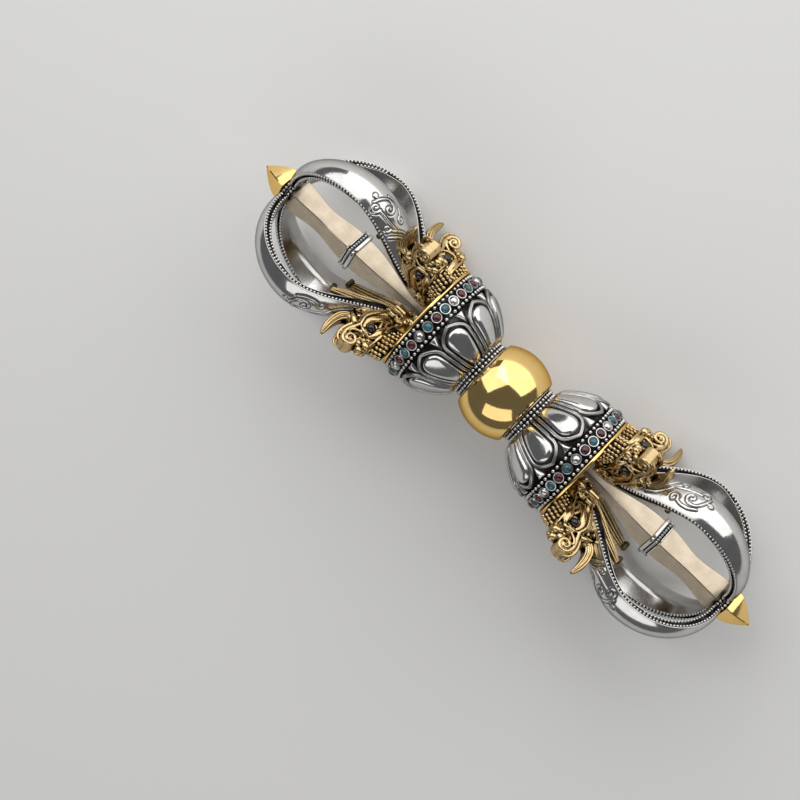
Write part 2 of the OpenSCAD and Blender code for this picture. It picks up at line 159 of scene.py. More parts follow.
class Board:
    """A node tree with one method that adds any node."""

    def __init__(self, tree: bpy.types.NodeTree) -> None:
        """Keeps the tree."""
        self.tree = tree

    def node(self, kind: str, settings: dict | None = None, inputs: dict | None = None) -> bpy.types.Node:
        """Adds a node.

        Args:
            kind: Blender's name of the node type.
            settings: the node's own settings, set before its sockets.
            inputs: socket values, readings or sockets to link, by socket name or number.

        Returns:
            The new node.
        """
        node = self.tree.nodes.new(kind)
        for name, value in (settings or {}).items():
            setattr(node, name, value)
        self.fill(node, inputs or {})
        return node

    def fill(self, node: bpy.types.Node, inputs: dict) -> None:
        """Sets or links a node's inputs.

        Args:
            node: the node.
            inputs: socket values, readings or sockets to link, by socket name or number.
        """
        for name, value in inputs.items():
            socket = value.socket if isinstance(value, Reading) else value
            if isinstance(socket, bpy.types.NodeSocket):
                self.tree.links.new(socket, node.inputs[name])
            else:
                node.inputs[name].default_value = value

    def reading(
        self, kind: str, settings: dict | None = None, inputs: dict | None = None, out: str | int = 0
    ) -> Reading:
        """Adds a node and reads one of its outputs.

        Args:
            kind: Blender's name of the node type.
            settings: the node's own settings.
            inputs: socket values or links.
            out: name or number of the output.

        Returns:
            The output as a reading.
        """
        return Reading(self, self.node(kind, settings, inputs).outputs[out])

    def maths(self, operation: str, a: Reading | float, b: Reading | float, clamp: bool = False) -> Reading:
        """One Math node.

        Args:
            operation: the node's operation.
            a: first value.
            b: second value.
            clamp: whether the result is held between 0 and 1.

        Returns:
            The result.
        """
        return self.reading("ShaderNodeMath", {"operation": operation, "use_clamp": clamp}, {0: a, 1: b})

    def mix(self, share: Reading | float, a: Reading | Colour, b: Reading | Colour) -> Reading:
        """Mixes two colours.

        Args:
            share: share of the second colour.
            a: first colour.
            b: second colour.

        Returns:
            The mixed colour.
        """
        a, b = ((*c, 1.0) if isinstance(c, tuple) else c for c in (a, b))
        return self.reading("ShaderNodeMix", {"data_type": "RGBA"}, {0: share, 6: a, 7: b}, 2)

    def place(self) -> Reading:
        """The object's own coordinates, in metres."""
        return self.reading("ShaderNodeTexCoord", out="Object")

    def noise(self, place: Reading, scale: float, detail: float) -> Reading:
        """Cloudy noise.

        Args:
            place: where it is read.
            scale: features per metre.
            detail: octaves.

        Returns:
            A value around 0.5.
        """
        inputs = {"Vector": place, "Scale": scale, "Detail": detail}
        return self.reading("ShaderNodeTexNoise", None, inputs, "Fac")


@dataclass(frozen=True)
class Finish:
    """A surface finish that makes its material once."""

    name: str

    def shade(self, board: Board, shader: bpy.types.Node) -> None:
        """Fills in the shader."""
        raise NotImplementedError

    def material(self) -> bpy.types.Material:
        """The finish's material.

        Returns:
            The material, made on the first call.
        """
        made = bpy.data.materials.get(self.name)
        if made is None:
            made = bpy.data.materials.new(self.name)
            made.use_nodes = True
            made.node_tree.nodes.clear()
            board = Board(made.node_tree)
            shader = board.node("ShaderNodeBsdfPrincipled")
            board.node("ShaderNodeOutputMaterial", None, {"Surface": shader.outputs["BSDF"]})
            self.shade(board, shader)
        return made


@dataclass(frozen=True)
class Metal(Finish):
    """Plated metal, bright where it is rubbed and dark in its recesses, where painted shade is mixed with
    patina.
    """

    bright: Colour
    tint: Colour
    # colour of the painted shade and patina in the recesses
    dark: Colour
    gloss: float
    dull: float
    grain: float = 0.04
    edge: Colour = (0.4, 0.4, 0.41)

    def shade(self, board: Board, shader: bpy.types.Node) -> None:
        """Fills in the shader.

        Args:
            board: the material's nodes.
            shader: its shader.
        """
        place = board.place()
        recess = board.reading("ShaderNodeAttribute", {"attribute_name": "recess"}, None, "Fac")
        cloud = board.noise(place, 260.0, 4.0)
        spots = board.noise(place, 1400.0, 2.0)
        # Painted shade: the recess attribute darkens hollows, creases and hidden faces toward the dark colour;
        # on the silver it partly stands for patina.
        patina_and_painted_shade = (recess * (0.75 + 0.5 * cloud)).held()
        rubbed = board.mix((cloud * 1.6 - 0.5).held(), self.bright, self.tint)
        colour = board.mix(patina_and_painted_shade, rubbed, self.dark)
        rough = self.gloss + patina_and_painted_shade * (self.dull - self.gloss) + (cloud - 0.5) * 0.1 + (spots - 0.5) * 0.05
        grain = {"Strength": self.grain, "Distance": 0.0003, "Height": spots + cloud * 0.6}
        board.fill(shader, {
            "Base Color": colour,
            "Metallic": 1.0,
            "Roughness": rough.held(),
            "Specular Tint": (*self.edge, 1.0),
            "Normal": board.reading("ShaderNodeBump", None, grain, "Normal"),
        })


@dataclass(frozen=True)
class Gem(Finish):
    """A polished stone with clouds and veins."""

    body: Colour
    cloud: Colour
    vein: Colour
    veins: float
    gloss: float

    def shade(self, board: Board, shader: bpy.types.Node) -> None:
        """Fills in the shader.

        Args:
            board: the material's nodes.
            shader: its shader.
        """
        place = board.place()
        cloud = board.noise(place, 420.0, 4.0)
        swirl = board.reading("ShaderNodeTexNoise", None, {"Vector": place, "Scale": 600.0}, "Color")
        shift = board.reading("ShaderNodeVectorMath", {"operation": "SCALE"}, {0: swirl, "Scale": 0.0012})
        bent = board.reading("ShaderNodeVectorMath", {"operation": "ADD"}, {0: place, 1: shift})
        cells = {"Vector": bent, "Scale": 520.0}
        crack = board.reading("ShaderNodeTexVoronoi", {"feature": "DISTANCE_TO_EDGE"}, cells, "Distance")
        line = (1.0 - crack * 9.0).held() * self.veins
        colour = board.mix(line, board.mix((cloud * 2.4 - 0.7).held(), self.body, self.cloud), self.vein)
        rough = (self.gloss + line * 0.3 + (cloud - 0.5) * 0.08).held()
        board.fill(shader, {
            "Base Color": colour,
            "Roughness": rough,
            "Specular IOR Level": 0.35,
            "Coat Weight": 0.8,
            "Coat Roughness": 0.03,
        })


@dataclass(frozen=True)
class Ground(Finish):
    """The pale floor."""

    colour: Colour

    def shade(self, board: Board, shader: bpy.types.Node) -> None:
        """Fills in the shader.

        Args:
            board: the material's nodes.
            shader: its shader.
        """
        cloud = board.noise(board.place(), 9.0, 3.0)
        colour = board.mix(cloud * 0.12, self.colour, tuple(0.94 * c for c in self.colour))
        board.fill(shader, {"Base Color": colour, "Roughness": 0.75, "Specular IOR Level": 0.2})


SILVER = Metal(
    "polished silver", (0.74, 0.73, 0.71), (0.60, 0.58, 0.55), (0.014, 0.012, 0.011), 0.13, 0.5
)
DARK_SILVER = Metal(
    "oxidised silver", (0.38, 0.37, 0.36), (0.26, 0.25, 0.24), (0.012, 0.011, 0.010), 0.26, 0.55
)
WARM_SILVER = Metal(
    "aged silver", (0.60, 0.51, 0.39), (0.46, 0.38, 0.28), (0.05, 0.042, 0.034), 0.25, 0.5, 0.07
)
GOLD = Metal(
    "polished gold", (1.0, 0.71, 0.28), (0.92, 0.60, 0.21), (0.10, 0.055, 0.016), 0.09, 0.45, 0.02,
    (0.6, 0.45, 0.3),
)
OLD_GOLD = Metal(
    "antique gold", (0.76, 0.57, 0.30), (0.55, 0.39, 0.18), (0.012, 0.008, 0.005), 0.19, 0.5, 0.05
)
EYE = Gem("dark eye", (0.010, 0.004, 0.006), (0.018, 0.008, 0.011), (0.0, 0.0, 0.0), 0.0, 0.04)
TURQUOISE = Gem(
    "turquoise stone", (0.010, 0.080, 0.112), (0.045, 0.20, 0.24), (0.002, 0.006, 0.008), 0.95, 0.1
)
GARNET = Gem("garnet stone", (0.050, 0.0015, 0.004), (0.12, 0.004, 0.009), (0.012, 0.0, 0.001), 0.4, 0.05)
FLOOR = Ground("pale floor", (0.86, 0.85, 0.83))


def grid_faces(rows: int, columns: int, rows_closed: bool = False) -> list[tuple[int, ...]]:
    """Quads of a grid of points whose rows close on themselves.

    Args:
        rows: number of rows.
        columns: points in a row.
        rows_closed: whether the last row joins the first.

    Returns:
        The faces as tuples of point numbers.
    """
    i, j = np.meshgrid(np.arange(rows if rows_closed else rows - 1), np.arange(columns), indexing="ij")
    below, beside = (i + 1) % rows, (j + 1) % columns
    corners = (i * columns + j, below * columns + j, below * columns + beside, i * columns + beside)
    return list(map(tuple, np.stack(corners, -1).reshape(-1, 4).tolist()))


@dataclass
class Form:
    """Points in millimetres with their faces, recess depths that set painted shade, and finish numbers."""

    points: np.ndarray
    faces: list[tuple[int, ...]]
    recess: np.ndarray
    finish: np.ndarray

    @classmethod
    def of(cls, points: np.ndarray, faces: list[tuple[int, ...]], recess: np.ndarray) -> "Form":
        """Makes a form with its first finish everywhere.

        Args:
            points: places in millimetres.
            faces: point numbers of each face.
            recess: recess depth of each point.

        Returns:
            The form.
        """
        return cls(np.asarray(points, float), faces, np.array(recess, float), np.zeros(len(faces), int))

    def joined(self, *others: "Form") -> "Form":
        """This form and others as one.

        Args:
            others: the forms to add.

        Returns:
            The joint form.
        """
        faces, start = list(self.faces), len(self.points)
        for other in others:
            faces += [tuple(k + start for k in f) for f in other.faces]
            start += len(other.points)
        every = (self, *others)
        return Form(
            np.concatenate([f.points for f in every]),
            faces,
            np.concatenate([f.recess for f in every]),
            np.concatenate([f.finish for f in every]),
        )

    def moved(self, points: np.ndarray) -> "Form":
        """The same form with its points elsewhere."""
        return Form(points, self.faces, self.recess, self.finish)

    def turned(self, degrees: float) -> "Form":
        """The form turned about X, from +Z toward +Y."""
        return self.moved(turn_about_axis(self.points, degrees))

    def mesh(self, name: str, crease: float = 40.0) -> bpy.types.Mesh:
        """A clean mesh in metres.

        Args:
            name: the mesh's name.
            crease: angle in degrees from which an edge stays sharp.

        Returns:
            The mesh, smooth shaded, with a recess attribute.
        """
        mesh = bpy.data.meshes.new(name)
        mesh.from_pydata(self.points * MM, [], self.faces)
        recess = mesh.attributes.new("recess", "FLOAT", "POINT")
        recess.data.foreach_set("value", self.recess.astype(np.float32))
        mesh.polygons.foreach_set("material_index", self.finish.astype(np.int32))
        work = bmesh.new()
        work.from_mesh(mesh)
        bmesh.ops.remove_doubles(work, verts=work.verts, dist=1e-7)
        bmesh.ops.recalc_face_normals(work, faces=work.faces)
        work.to_mesh(mesh)
        work.free()
        mesh.shade_smooth()
        mesh.set_sharp_from_angle(angle=math.radians(crease))
        return mesh


def closed_skin(rings: np.ndarray, recess: np.ndarray | float = 0.0) -> Form:
    """A skin over a row of closed rings, with both ends closed.

    Args:
        rings: places by ring and point.
        recess: recess depth by ring and point, or one for all.

    Returns:
        The closed form.
    """
    count, sides = rings.shape[:2]
    faces = grid_faces(count, sides)
    faces += [tuple(range(sides)), tuple(range((count - 1) * sides, count * sides))]
    return Form.of(rings.reshape(-1, 3), faces, np.broadcast_to(recess, (count, sides)).reshape(-1))


def turn_about_axis(points: np.ndarray, degrees: float) -> np.ndarray:
    """Points turned about X, from +Z toward +Y.

    Args:
        points: places.
        degrees: the turn.

    Returns:
        The turned places.
    """
    c, s = math.cos(math.radians(degrees)), math.sin(math.radians(degrees))
    x, y, z = points[..., 0], points[..., 1], points[..., 2]
    return np.stack((x, y * c + z * s, z * c - y * s), -1)


def around(x: float, radius: float, count: int) -> np.ndarray:
    """Points of a circle about the axis, from +Z toward +Y."""
    angle = np.linspace(0.0, 2.0 * math.pi, count, endpoint=False)
    return np.stack((np.full(count, x), radius * np.sin(angle), radius * np.cos(angle)), -1)


def lathe(profile: Sequence[tuple[float, float]], segments: int, recess: Sequence[float] | float) -> Form:
    """Turns a closed profile about the axis.

    Args:
        profile: [along, radius] of each point, outer side first.
        segments: steps round the axis.
        recess: recess depth at each profile point, or one for all.

    Returns:
        The turned form.
    """
    points = np.concatenate([around(x, r, segments) for x, r in profile])
    depth = np.repeat(np.broadcast_to(np.asarray(recess, float), (len(profile),)), segments)
    return Form.of(points, grid_faces(len(profile), segments, True), depth)


def wire_ring(x: float, radius: float, segments: int) -> Form:
    """A thin wire round the axis, flatter along it than outward."""
    turn = np.linspace(math.pi, -math.pi, 10, endpoint=False)
    # A little painted shade on the wire.
    return lathe([(x + 0.2 * math.cos(a), radius + 0.3 * math.sin(a)) for a in turn], segments, 0.1)


def headings(path: np.ndarray) -> np.ndarray:
    """Direction of a path at each of its points."""
    ahead = np.gradient(path, axis=0)
    return ahead / np.linalg.norm(ahead, axis=1)[:, None]


def lengths(line: np.ndarray) -> np.ndarray:
    """Length along a line from its start to each of its points."""
    return np.concatenate(([0.0], np.cumsum(np.linalg.norm(np.diff(line, axis=0), axis=1))))


def smooth_path(points: Sequence[Sequence[float]], steps: int) -> np.ndarray:
    """A smooth curve through the given points.

    Args:
        points: the places it passes, with any number of values each.
        steps: pieces between two places.

    Returns:
        The points of the curve.
    """
    p = np.asarray(points, float)
    p = np.vstack((2 * p[0] - p[1], p, 2 * p[-1] - p[-2]))
    t = np.linspace(0.0, 1.0, steps, endpoint=False)[:, None]
    parts = []
    for a, b, c, d in zip(p[:-3], p[1:-2], p[2:-1], p[3:]):
        square, cube = 2 * a - 5 * b + 4 * c - d, 3 * b - a - 3 * c + d
        parts.append(0.5 * (2 * b + (c - a) * t + square * t**2 + cube * t**3))
    return np.vstack((*parts, p[-2]))


def strand(path: np.ndarray, radii: np.ndarray, sides: int = 10) -> Form:
    """A round strand along a path.

    Args:
        path: its middle line.
        radii: its radius at each point of the path.
        sides: points round it.

    Returns:
        The closed strand.
    """
    ahead = np.gradient(path, axis=0)
    ahead /= np.linalg.norm(ahead, axis=1)[:, None] + 1e-12
    side = np.cross(ahead[0], (0.0, 1.0, 0.0))
    if np.linalg.norm(side) < 0.1:
        side = np.cross(ahead[0], (0.0, 0.0, 1.0))
    rings = []
    angle = np.linspace(0.0, 2.0 * math.pi, sides, endpoint=False)
    for place, way, radius in zip(path, ahead, radii):
        side = side - way * side.dot(way)
        side /= np.linalg.norm(side)
        up = np.cross(way, side)
        rings.append(place + radius * (np.cos(angle)[:, None] * side + np.sin(angle)[:, None] * up))
    return closed_skin(np.array(rings))


def oval(
    centre: Sequence[float], radii: Sequence[float], lean: float = 0.0, rows: int = 14, columns: int = 20
) -> Form:
    """A closed oval body.

    Args:
        centre: its middle.
        radii: its half sizes along, across and outward.
        lean: its lean in degrees in the plane of along and outward.
        rows: rings from pole to pole.
        columns: points round it.

    Returns:
        The oval.
    """
    polar = np.linspace(0.02, math.pi - 0.02, rows)[:, None]
    angle = np.linspace(0.0, 2.0 * math.pi, columns, endpoint=False)[None, :]
    ring = np.sin(polar)
    unit = np.stack((ring * np.cos(angle), ring * np.sin(angle), np.cos(polar) + 0 * angle), -1)
    body = unit.reshape(-1, 3) * np.asarray(radii, float)
    c, s = math.cos(math.radians(lean)), math.sin(math.radians(lean))
    body = np.stack((body[:, 0] * c + body[:, 2] * s, body[:, 1], body[:, 2] * c - body[:, 0] * s), -1)
    return closed_skin((body + np.asarray(centre, float)).reshape(rows, columns, 3))


class BeadRows:
    """Rows of beads that follow lines, made by a node tree with named sizes."""

    def __init__(self) -> None:
        """Builds the tree."""
        self.tree = bpy.data.node_groups.new("bead rows", "GeometryNodeTree")
        face = self.tree.interface
        face.new_socket("Lines", in_out="INPUT", socket_type="NodeSocketGeometry")
        kinds = {"Pitch": "NodeSocketFloat", "Bead radius": "NodeSocketFloat", "Finish": "NodeSocketMaterial"}
        self.ids = {
            name: face.new_socket(name, in_out="INPUT", socket_type=kind).identifier
            for name, kind in kinds.items()
        }
        face.new_socket("Beads", in_out="OUTPUT", socket_type="NodeSocketGeometry")
        board = Board(self.tree)
        given = board.node("NodeGroupInput").outputs
        curve = board.reading("GeometryNodeMeshToCurve", None, {"Mesh": given["Lines"]})
        steps = {"Curve": curve, "Length": given["Pitch"]}
        spaced = board.reading("GeometryNodeResampleCurve", {"mode": "LENGTH"}, steps)
        ball = {"Radius": given["Bead radius"], "Subdivisions": 2}
        bead = board.reading("GeometryNodeMeshIcoSphere", None, ball)
        rows = board.reading("GeometryNodeInstanceOnPoints", None, {"Points": spaced, "Instance": bead})
        real = board.reading("GeometryNodeRealizeInstances", None, {"Geometry": rows})
        smooth = board.reading("GeometryNodeSetShadeSmooth", None, {"Geometry": real})
        coat = {"Geometry": smooth, "Material": given["Finish"]}
        done = board.reading("GeometryNodeSetMaterial", None, coat)
        board.node("NodeGroupOutput", None, {"Beads": done})

    def mesh(
        self, name: str, lines: Sequence[np.ndarray], closed: bool, pitch: float, diameter: float
    ) -> bpy.types.Mesh:
        """Silver beads along lines.

        Args:
            name: the mesh's name.
            lines: points of each line, in millimetres.
            closed: whether the lines close on themselves.
            pitch: distance from bead to bead, in millimetres.
            diameter: diameter of a bead, in millimetres.

        Returns:
            The beads as a plain mesh in metres.
        """
        edges, start = [], 0
        for line in lines:
            count = len(line)
            edges += [(start + k, start + (k + 1) % count) for k in range(count if closed else count - 1)]
            start += count
        draft = bpy.data.meshes.new(name + "_lines")
        draft.from_pydata(np.concatenate(lines) * MM, edges, [])
        holder = bpy.data.objects.new(name + "_lines", draft)
        bpy.context.scene.collection.objects.link(holder)
        step = holder.modifiers.new("beads", "NODES")
        step.node_group = self.tree
        step[self.ids["Pitch"]] = pitch * MM
        step[self.ids["Bead radius"]] = diameter / 2 * MM
        step[self.ids["Finish"]] = SILVER.material()
        graph = bpy.context.evaluated_depsgraph_get()
        made = bpy.data.meshes.new_from_object(holder.evaluated_get(graph))
        made.name = name
        bpy.data.objects.remove(holder)
        bpy.data.meshes.remove(draft)
        return made

    def fit(
        self,
        end: End,
        node: str,
        lines: Sequence[np.ndarray],
        closed: bool,
        pitch: float,
        diameter: float,
        slot: Slot = Slot.POLISHED_SILVER,
        body: str = "frame",
    ) -> None:
        """Puts beads on a piece, along lines made for the right end.

        Args:
            end: the end that the piece belongs to.
            node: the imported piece's name without its end.
            lines: points of each line, in millimetres.
            closed: whether the lines close on themselves.
            pitch: distance from bead to bead, in millimetres.
            diameter: diameter of a bead, in millimetres.
            slot: the record's material slot.
            body: the body that they ride on.
        """
        name = end.piece(node) + "_beads"
        placed = [end.place(line) for line in lines]
        put(name, self.mesh(name, placed, closed, pitch, diameter), [], body, slot)


def even_pitch(length: float, count: int) -> float:
    """Pitch that sets a number of beads on a closed line of some length."""
    return length / (count + 0.4)


def put(
    name: str, mesh: bpy.types.Mesh, finishes: Sequence[Finish], body: str, slot: Slot, *nodes: str
) -> None:
    """Puts a piece into the scene and ties it to its body.

    Args:
        name: the piece's name.
        mesh: its mesh, in place.
        finishes: its finishes in the order of their numbers; none if the mesh has its own.
        body: the body that it rides on.
        slot: the record's material slot.
        nodes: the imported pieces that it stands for.
    """
    for finish in finishes:
        mesh.materials.append(finish.material())
    piece = bpy.data.objects.new(name, mesh)
    bpy.context.scene.collection.objects.link(piece)
    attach(piece, body)
    if nodes:
        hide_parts(*nodes)
    LOG.info("%s: %d faces", name, len(mesh.polygons))


def fit(
    end: End,
    node: str,
    kind: str,
    form: Form,
    finishes: Sequence[Finish],
    slot: Slot,
    crease: float = 40.0,
    body: str = "frame",
) -> None:
    """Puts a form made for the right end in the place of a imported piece.

    Args:
        end: the end that the piece belongs to.
        node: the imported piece's name without its end.
        kind: the word that the new piece's name adds to it.
        form: the form, as on the right end.
        finishes: its finishes in the order of their numbers.
        slot: the record's material slot.
        crease: angle in degrees from which an edge stays sharp.
        body: the body that it rides on.
    """
    name = end.piece(node)
    mesh = form.moved(end.place(form.points)).mesh(name, crease)
    put(f"{name}_{kind}", mesh, finishes, body, slot, name)


@dataclass
class Hub:
    """The polished ball and the rod through it."""

    radius: float = 15.1
    flat: float = 9.1
    bore: float = 4.0
    lip: float = 0.35

    def build(self) -> None:
        """Makes the ball and gives the hidden rod its finish."""
        edge = math.acos(self.flat / self.radius)
        arc = np.linspace(math.pi - edge, edge, 56)
        side = [(self.radius * math.cos(a), self.radius * math.sin(a)) for a in arc]
        profile = [
            (-self.flat, self.bore),
            (-self.flat, side[0][1] - self.lip),
            *side[1:-1],
            (self.flat, side[-1][1] - self.lip),
            (self.flat, self.bore),
        ]
        # Painted shade on the flat ends and the bore, where the collars sit.
        recess = [0.5, 0.5, *([0.0] * (len(side) - 2)), 0.5, 0.5]
        name = "hub_ball_polished"
        put(name, lathe(profile, 144, recess).mesh(name), [GOLD], "frame", Slot.POLISHED_GOLD, "hub_ball")
        rod = frame["nodes"]["hub_rod"]
        rod.data.materials.clear()
        rod.data.materials.append(WARM_SILVER.material())


@dataclass
class NeckCollar:
    """The narrow collar beside the ball, with two rows of beads."""

    end: End
    beads: BeadRows
    start: float = 9.1
    length: float = 3.4
    radius: float = 10.7
    bore: float = 4.2
    bead: float = 1.2
    count: int = 42

    def build(self) -> None:
        """Makes the core, its wire and the beads."""
        a, b, core = self.start, self.start + self.length, self.radius - 0.6 * self.bead
        # Painted shade: the core under the beads is set fully dark.
        body = lathe([(a, self.bore), (a, core), (b, core), (b, self.bore)], 96, 1.0)
        form = body.joined(wire_ring(a + 0.26, core + 0.42, 96))
        fit(self.end, "neck_collar", "core", form, [SILVER], Slot.POLISHED_SILVER)
        r = self.radius - self.bead / 2
        lines = [around(a + self.length * share, r, 168) for share in (0.36, 0.78)]
        pitch = even_pitch(2 * math.pi * r, self.count)
        self.beads.fit(self.end, "neck_collar", lines, True, pitch, self.bead)


@dataclass
class LotusCup:
    """A bowl of petals with double rims, raised lobes and leaf tips between them."""

    end: End
    turn: float
    start: float = 12.5
    length: float = 14.4
    neck: float = 10.4
    mouth: float = 19.0
    flare: float = 0.8
    petals: int = 10
    rows: int = 116
    columns: int = 76

    def profile(self) -> tuple[np.ndarray, np.ndarray, np.ndarray]:
        """The bowl's side line.

        Returns:
            [along, radius] of each row, the outward direction there, and the length along the line.
        """
        t = np.linspace(0.0, 1.0, 2000) ** 2
        radius = self.neck + (self.mouth - self.neck) * np.sin(t * math.pi / 2) ** self.flare
        line = np.stack((self.start + self.length * t, radius), -1)
        run = lengths(line)
        even = np.linspace(0.0, run[-1], self.rows)
        line = np.stack([np.interp(even, run, line[:, k]) for k in (0, 1)], -1)
        ahead = headings(line)
        return line, np.stack((-ahead[:, 1], ahead[:, 0]), -1), even

    def relief(self, run: np.ndarray, across: np.ndarray, half: np.ndarray) -> tuple[np.ndarray, np.ndarray]:
        """Height and recess of the petals.

        Args:
            run: length along the side line of each row.
            across: distance of each point from its petal's middle, by row and column.
            half: half the width of a petal's share of the bowl, by row.

        Returns:
            Height over the ground and recess depth, by row and column.
        """
        share = run / run[-1]
        point = 0.985
        closing = np.clip((share - 0.62) / (point - 0.62), 0.0, 1.0)
        width = (0.98 * half - 0.12) * (1.0 - closing**2.6) ** 0.85
        inside = self.depth_inside(run, across, width, run[-1] * point)
        lobe_close = np.clip((share - 0.58) / 0.28, 0.0, 1.0)
        lobe_half = 0.98 * half - 1.62
        lobe = self.depth_inside(run, across, lobe_half * np.sqrt(1.0 - lobe_close**2.6), run[-1] * 0.86)
        steps = (-0.15, 0.08, 0.22, 0.36, 0.48, 0.6, 0.82, 1.02, 1.16, 1.3)
        height = np.interp(inside, steps, (0.0, 0.8, 1.05, 0.85, 0.4, 0.85, 1.05, 0.85, 0.3, 0.1))
        # Painted shade: the grooves between the double rims, the gaps between petals and the edges of the
        # lobes and leaf tips are set dark.
        steps = (-0.05, 0.06, 0.14, 0.32, 0.42, 0.54, 0.64, 0.98, 1.1)
        recess = np.interp(inside, steps, (1.0, 0.6, 0.0, 0.0, 1.0, 1.0, 0.0, 0.1, 1.0))
        dome = np.clip(lobe / np.minimum(1.8, 0.9 * lobe_half)[:, None], 0.0, 1.0)
        swell = 0.12 + np.minimum(1.25, 0.75 * lobe_half)[:, None] * np.sqrt(1.0 - (1.0 - dome) ** 2)
        lifted = np.where(inside > 0.0, 0.5 * closing[:, None] ** 2, 0.0)
        height = np.where(lobe > 0.0, swell, height) + lifted
        recess = np.where(lobe > 0.0, np.interp(lobe, (0.0, 0.16, 0.3), (1.0, 0.3, 0.0)), recess)
        leaf_half = 1.5 * np.clip((share - 0.74) / 0.24, 0.0, 1.0) ** 1.1 * (share < 0.985)
        leaf = leaf_half[:, None] - np.abs(half[:, None] - np.abs(across))
        between = (inside < -0.1) & (leaf > 0.0)
        height = np.where(between, np.minimum(0.85, 0.2 + 1.1 * leaf), height)
        recess = np.where(between, np.interp(leaf, (0.0, 0.2), (0.9, 0.0)), recess)
        fade = np.clip(0.45 + run / 4.0, 0.0, 1.0)[:, None]
        return self.softened(height, 2) * fade, self.softened(recess, 1)

    def softened(self, values: np.ndarray, rounds: int) -> np.ndarray:
        """Values by row and column, averaged with their neighbours'.

        Args:
            values: the values of one petal; its last column joins the first of the next petal.
            rounds: how often they are averaged.

        Returns:
            The softened values.
        """
        for _ in range(rounds):
            values = (np.roll(values, 1, 1) + 2.0 * values + np.roll(values, -1, 1)) / 4.0
            padded = np.vstack((values[:1], values, values[-1:]))
            values = (padded[:-2] + 2.0 * values + padded[2:]) / 4.0
        return values

    def depth_inside(self, run: np.ndarray, across: np.ndarray, width: np.ndarray, last: float) -> np.ndarray:
        """How far points lie inside a petal's outline.

        Args:
            run: length along the side line of each row.
            across: distance of each point from the petal's middle, by row and column.
            width: half width of the outline, by row.
            last: length along the side line where the outline closes.

        Returns:
            The distance to the outline, negative outside it, by row and column.
        """
        kept = run < last
        outline = np.stack((run[kept], width[kept]), -1)
        outline = np.vstack(((-3.0, outline[0, 1]), outline, (last, 0.0)))
        places = np.stack((np.broadcast_to(run[:, None], across.shape), np.abs(across)), -1)
        away = distance_to_line(places.reshape(-1, 2), outline).reshape(across.shape)
        return np.where((np.abs(across) < width[:, None]) & kept[:, None], away, -away)

    def build(self) -> None:
        """Makes the bowl with its petals."""
        line, out, run = self.profile()
        count = self.petals * self.columns
        angle = np.arange(count) / count * 2.0 * math.pi
        local = (angle % (2.0 * math.pi / self.petals)) - math.pi / self.petals
        across = line[:, 1:2] * local[None, : self.columns]
        height, recess = self.relief(run, across, line[:, 1] * math.pi / self.petals)
        height, recess = np.tile(height, (1, self.petals)), np.tile(recess, (1, self.petals))
        place = angle + math.radians(self.turn) - math.pi / self.petals
        x = line[:, 0:1] + out[:, 0:1] * height
        r = line[:, 1:2] + out[:, 1:2] * height
        skin = np.stack((x, r * np.sin(place), r * np.cos(place)), -1).reshape(-1, 3)
        inside = ((self.start + self.length, 16.4), (self.start + 1.8, 6.0), (self.start, 5.6))
        inner = [
            np.stack((np.full(count, px), pr * np.sin(place), pr * np.cos(place)), -1) for px, pr in inside
        ]
        points = np.concatenate((skin, *inner))
        # Painted shade: the inside of the bowl is set fully dark.
        depth = np.concatenate((recess.reshape(-1), np.ones(3 * count)))
        form = Form.of(points, grid_faces(self.rows + 3, count, True), depth)
        fit(self.end, "lotus_cup", "petals", form, [SILVER], Slot.POLISHED_SILVER, 60.0)


def distance_to_line(places: np.ndarray, line: np.ndarray) -> np.ndarray:
    """Distance of points from a line of straight pieces.

    Args:
        places: points in a plane.
        line: corners of the line.

    Returns:
        The distance of each point.
    """
    a, step = line[:-1], np.diff(line, axis=0)
    best = np.full(len(places), np.inf)
    for start, way in zip(a, step):
        t = np.clip((places - start) @ way / max(way @ way, 1e-12), 0.0, 1.0)
        best = np.minimum(best, np.linalg.norm(places - start - t[:, None] * way, axis=1))
    return best


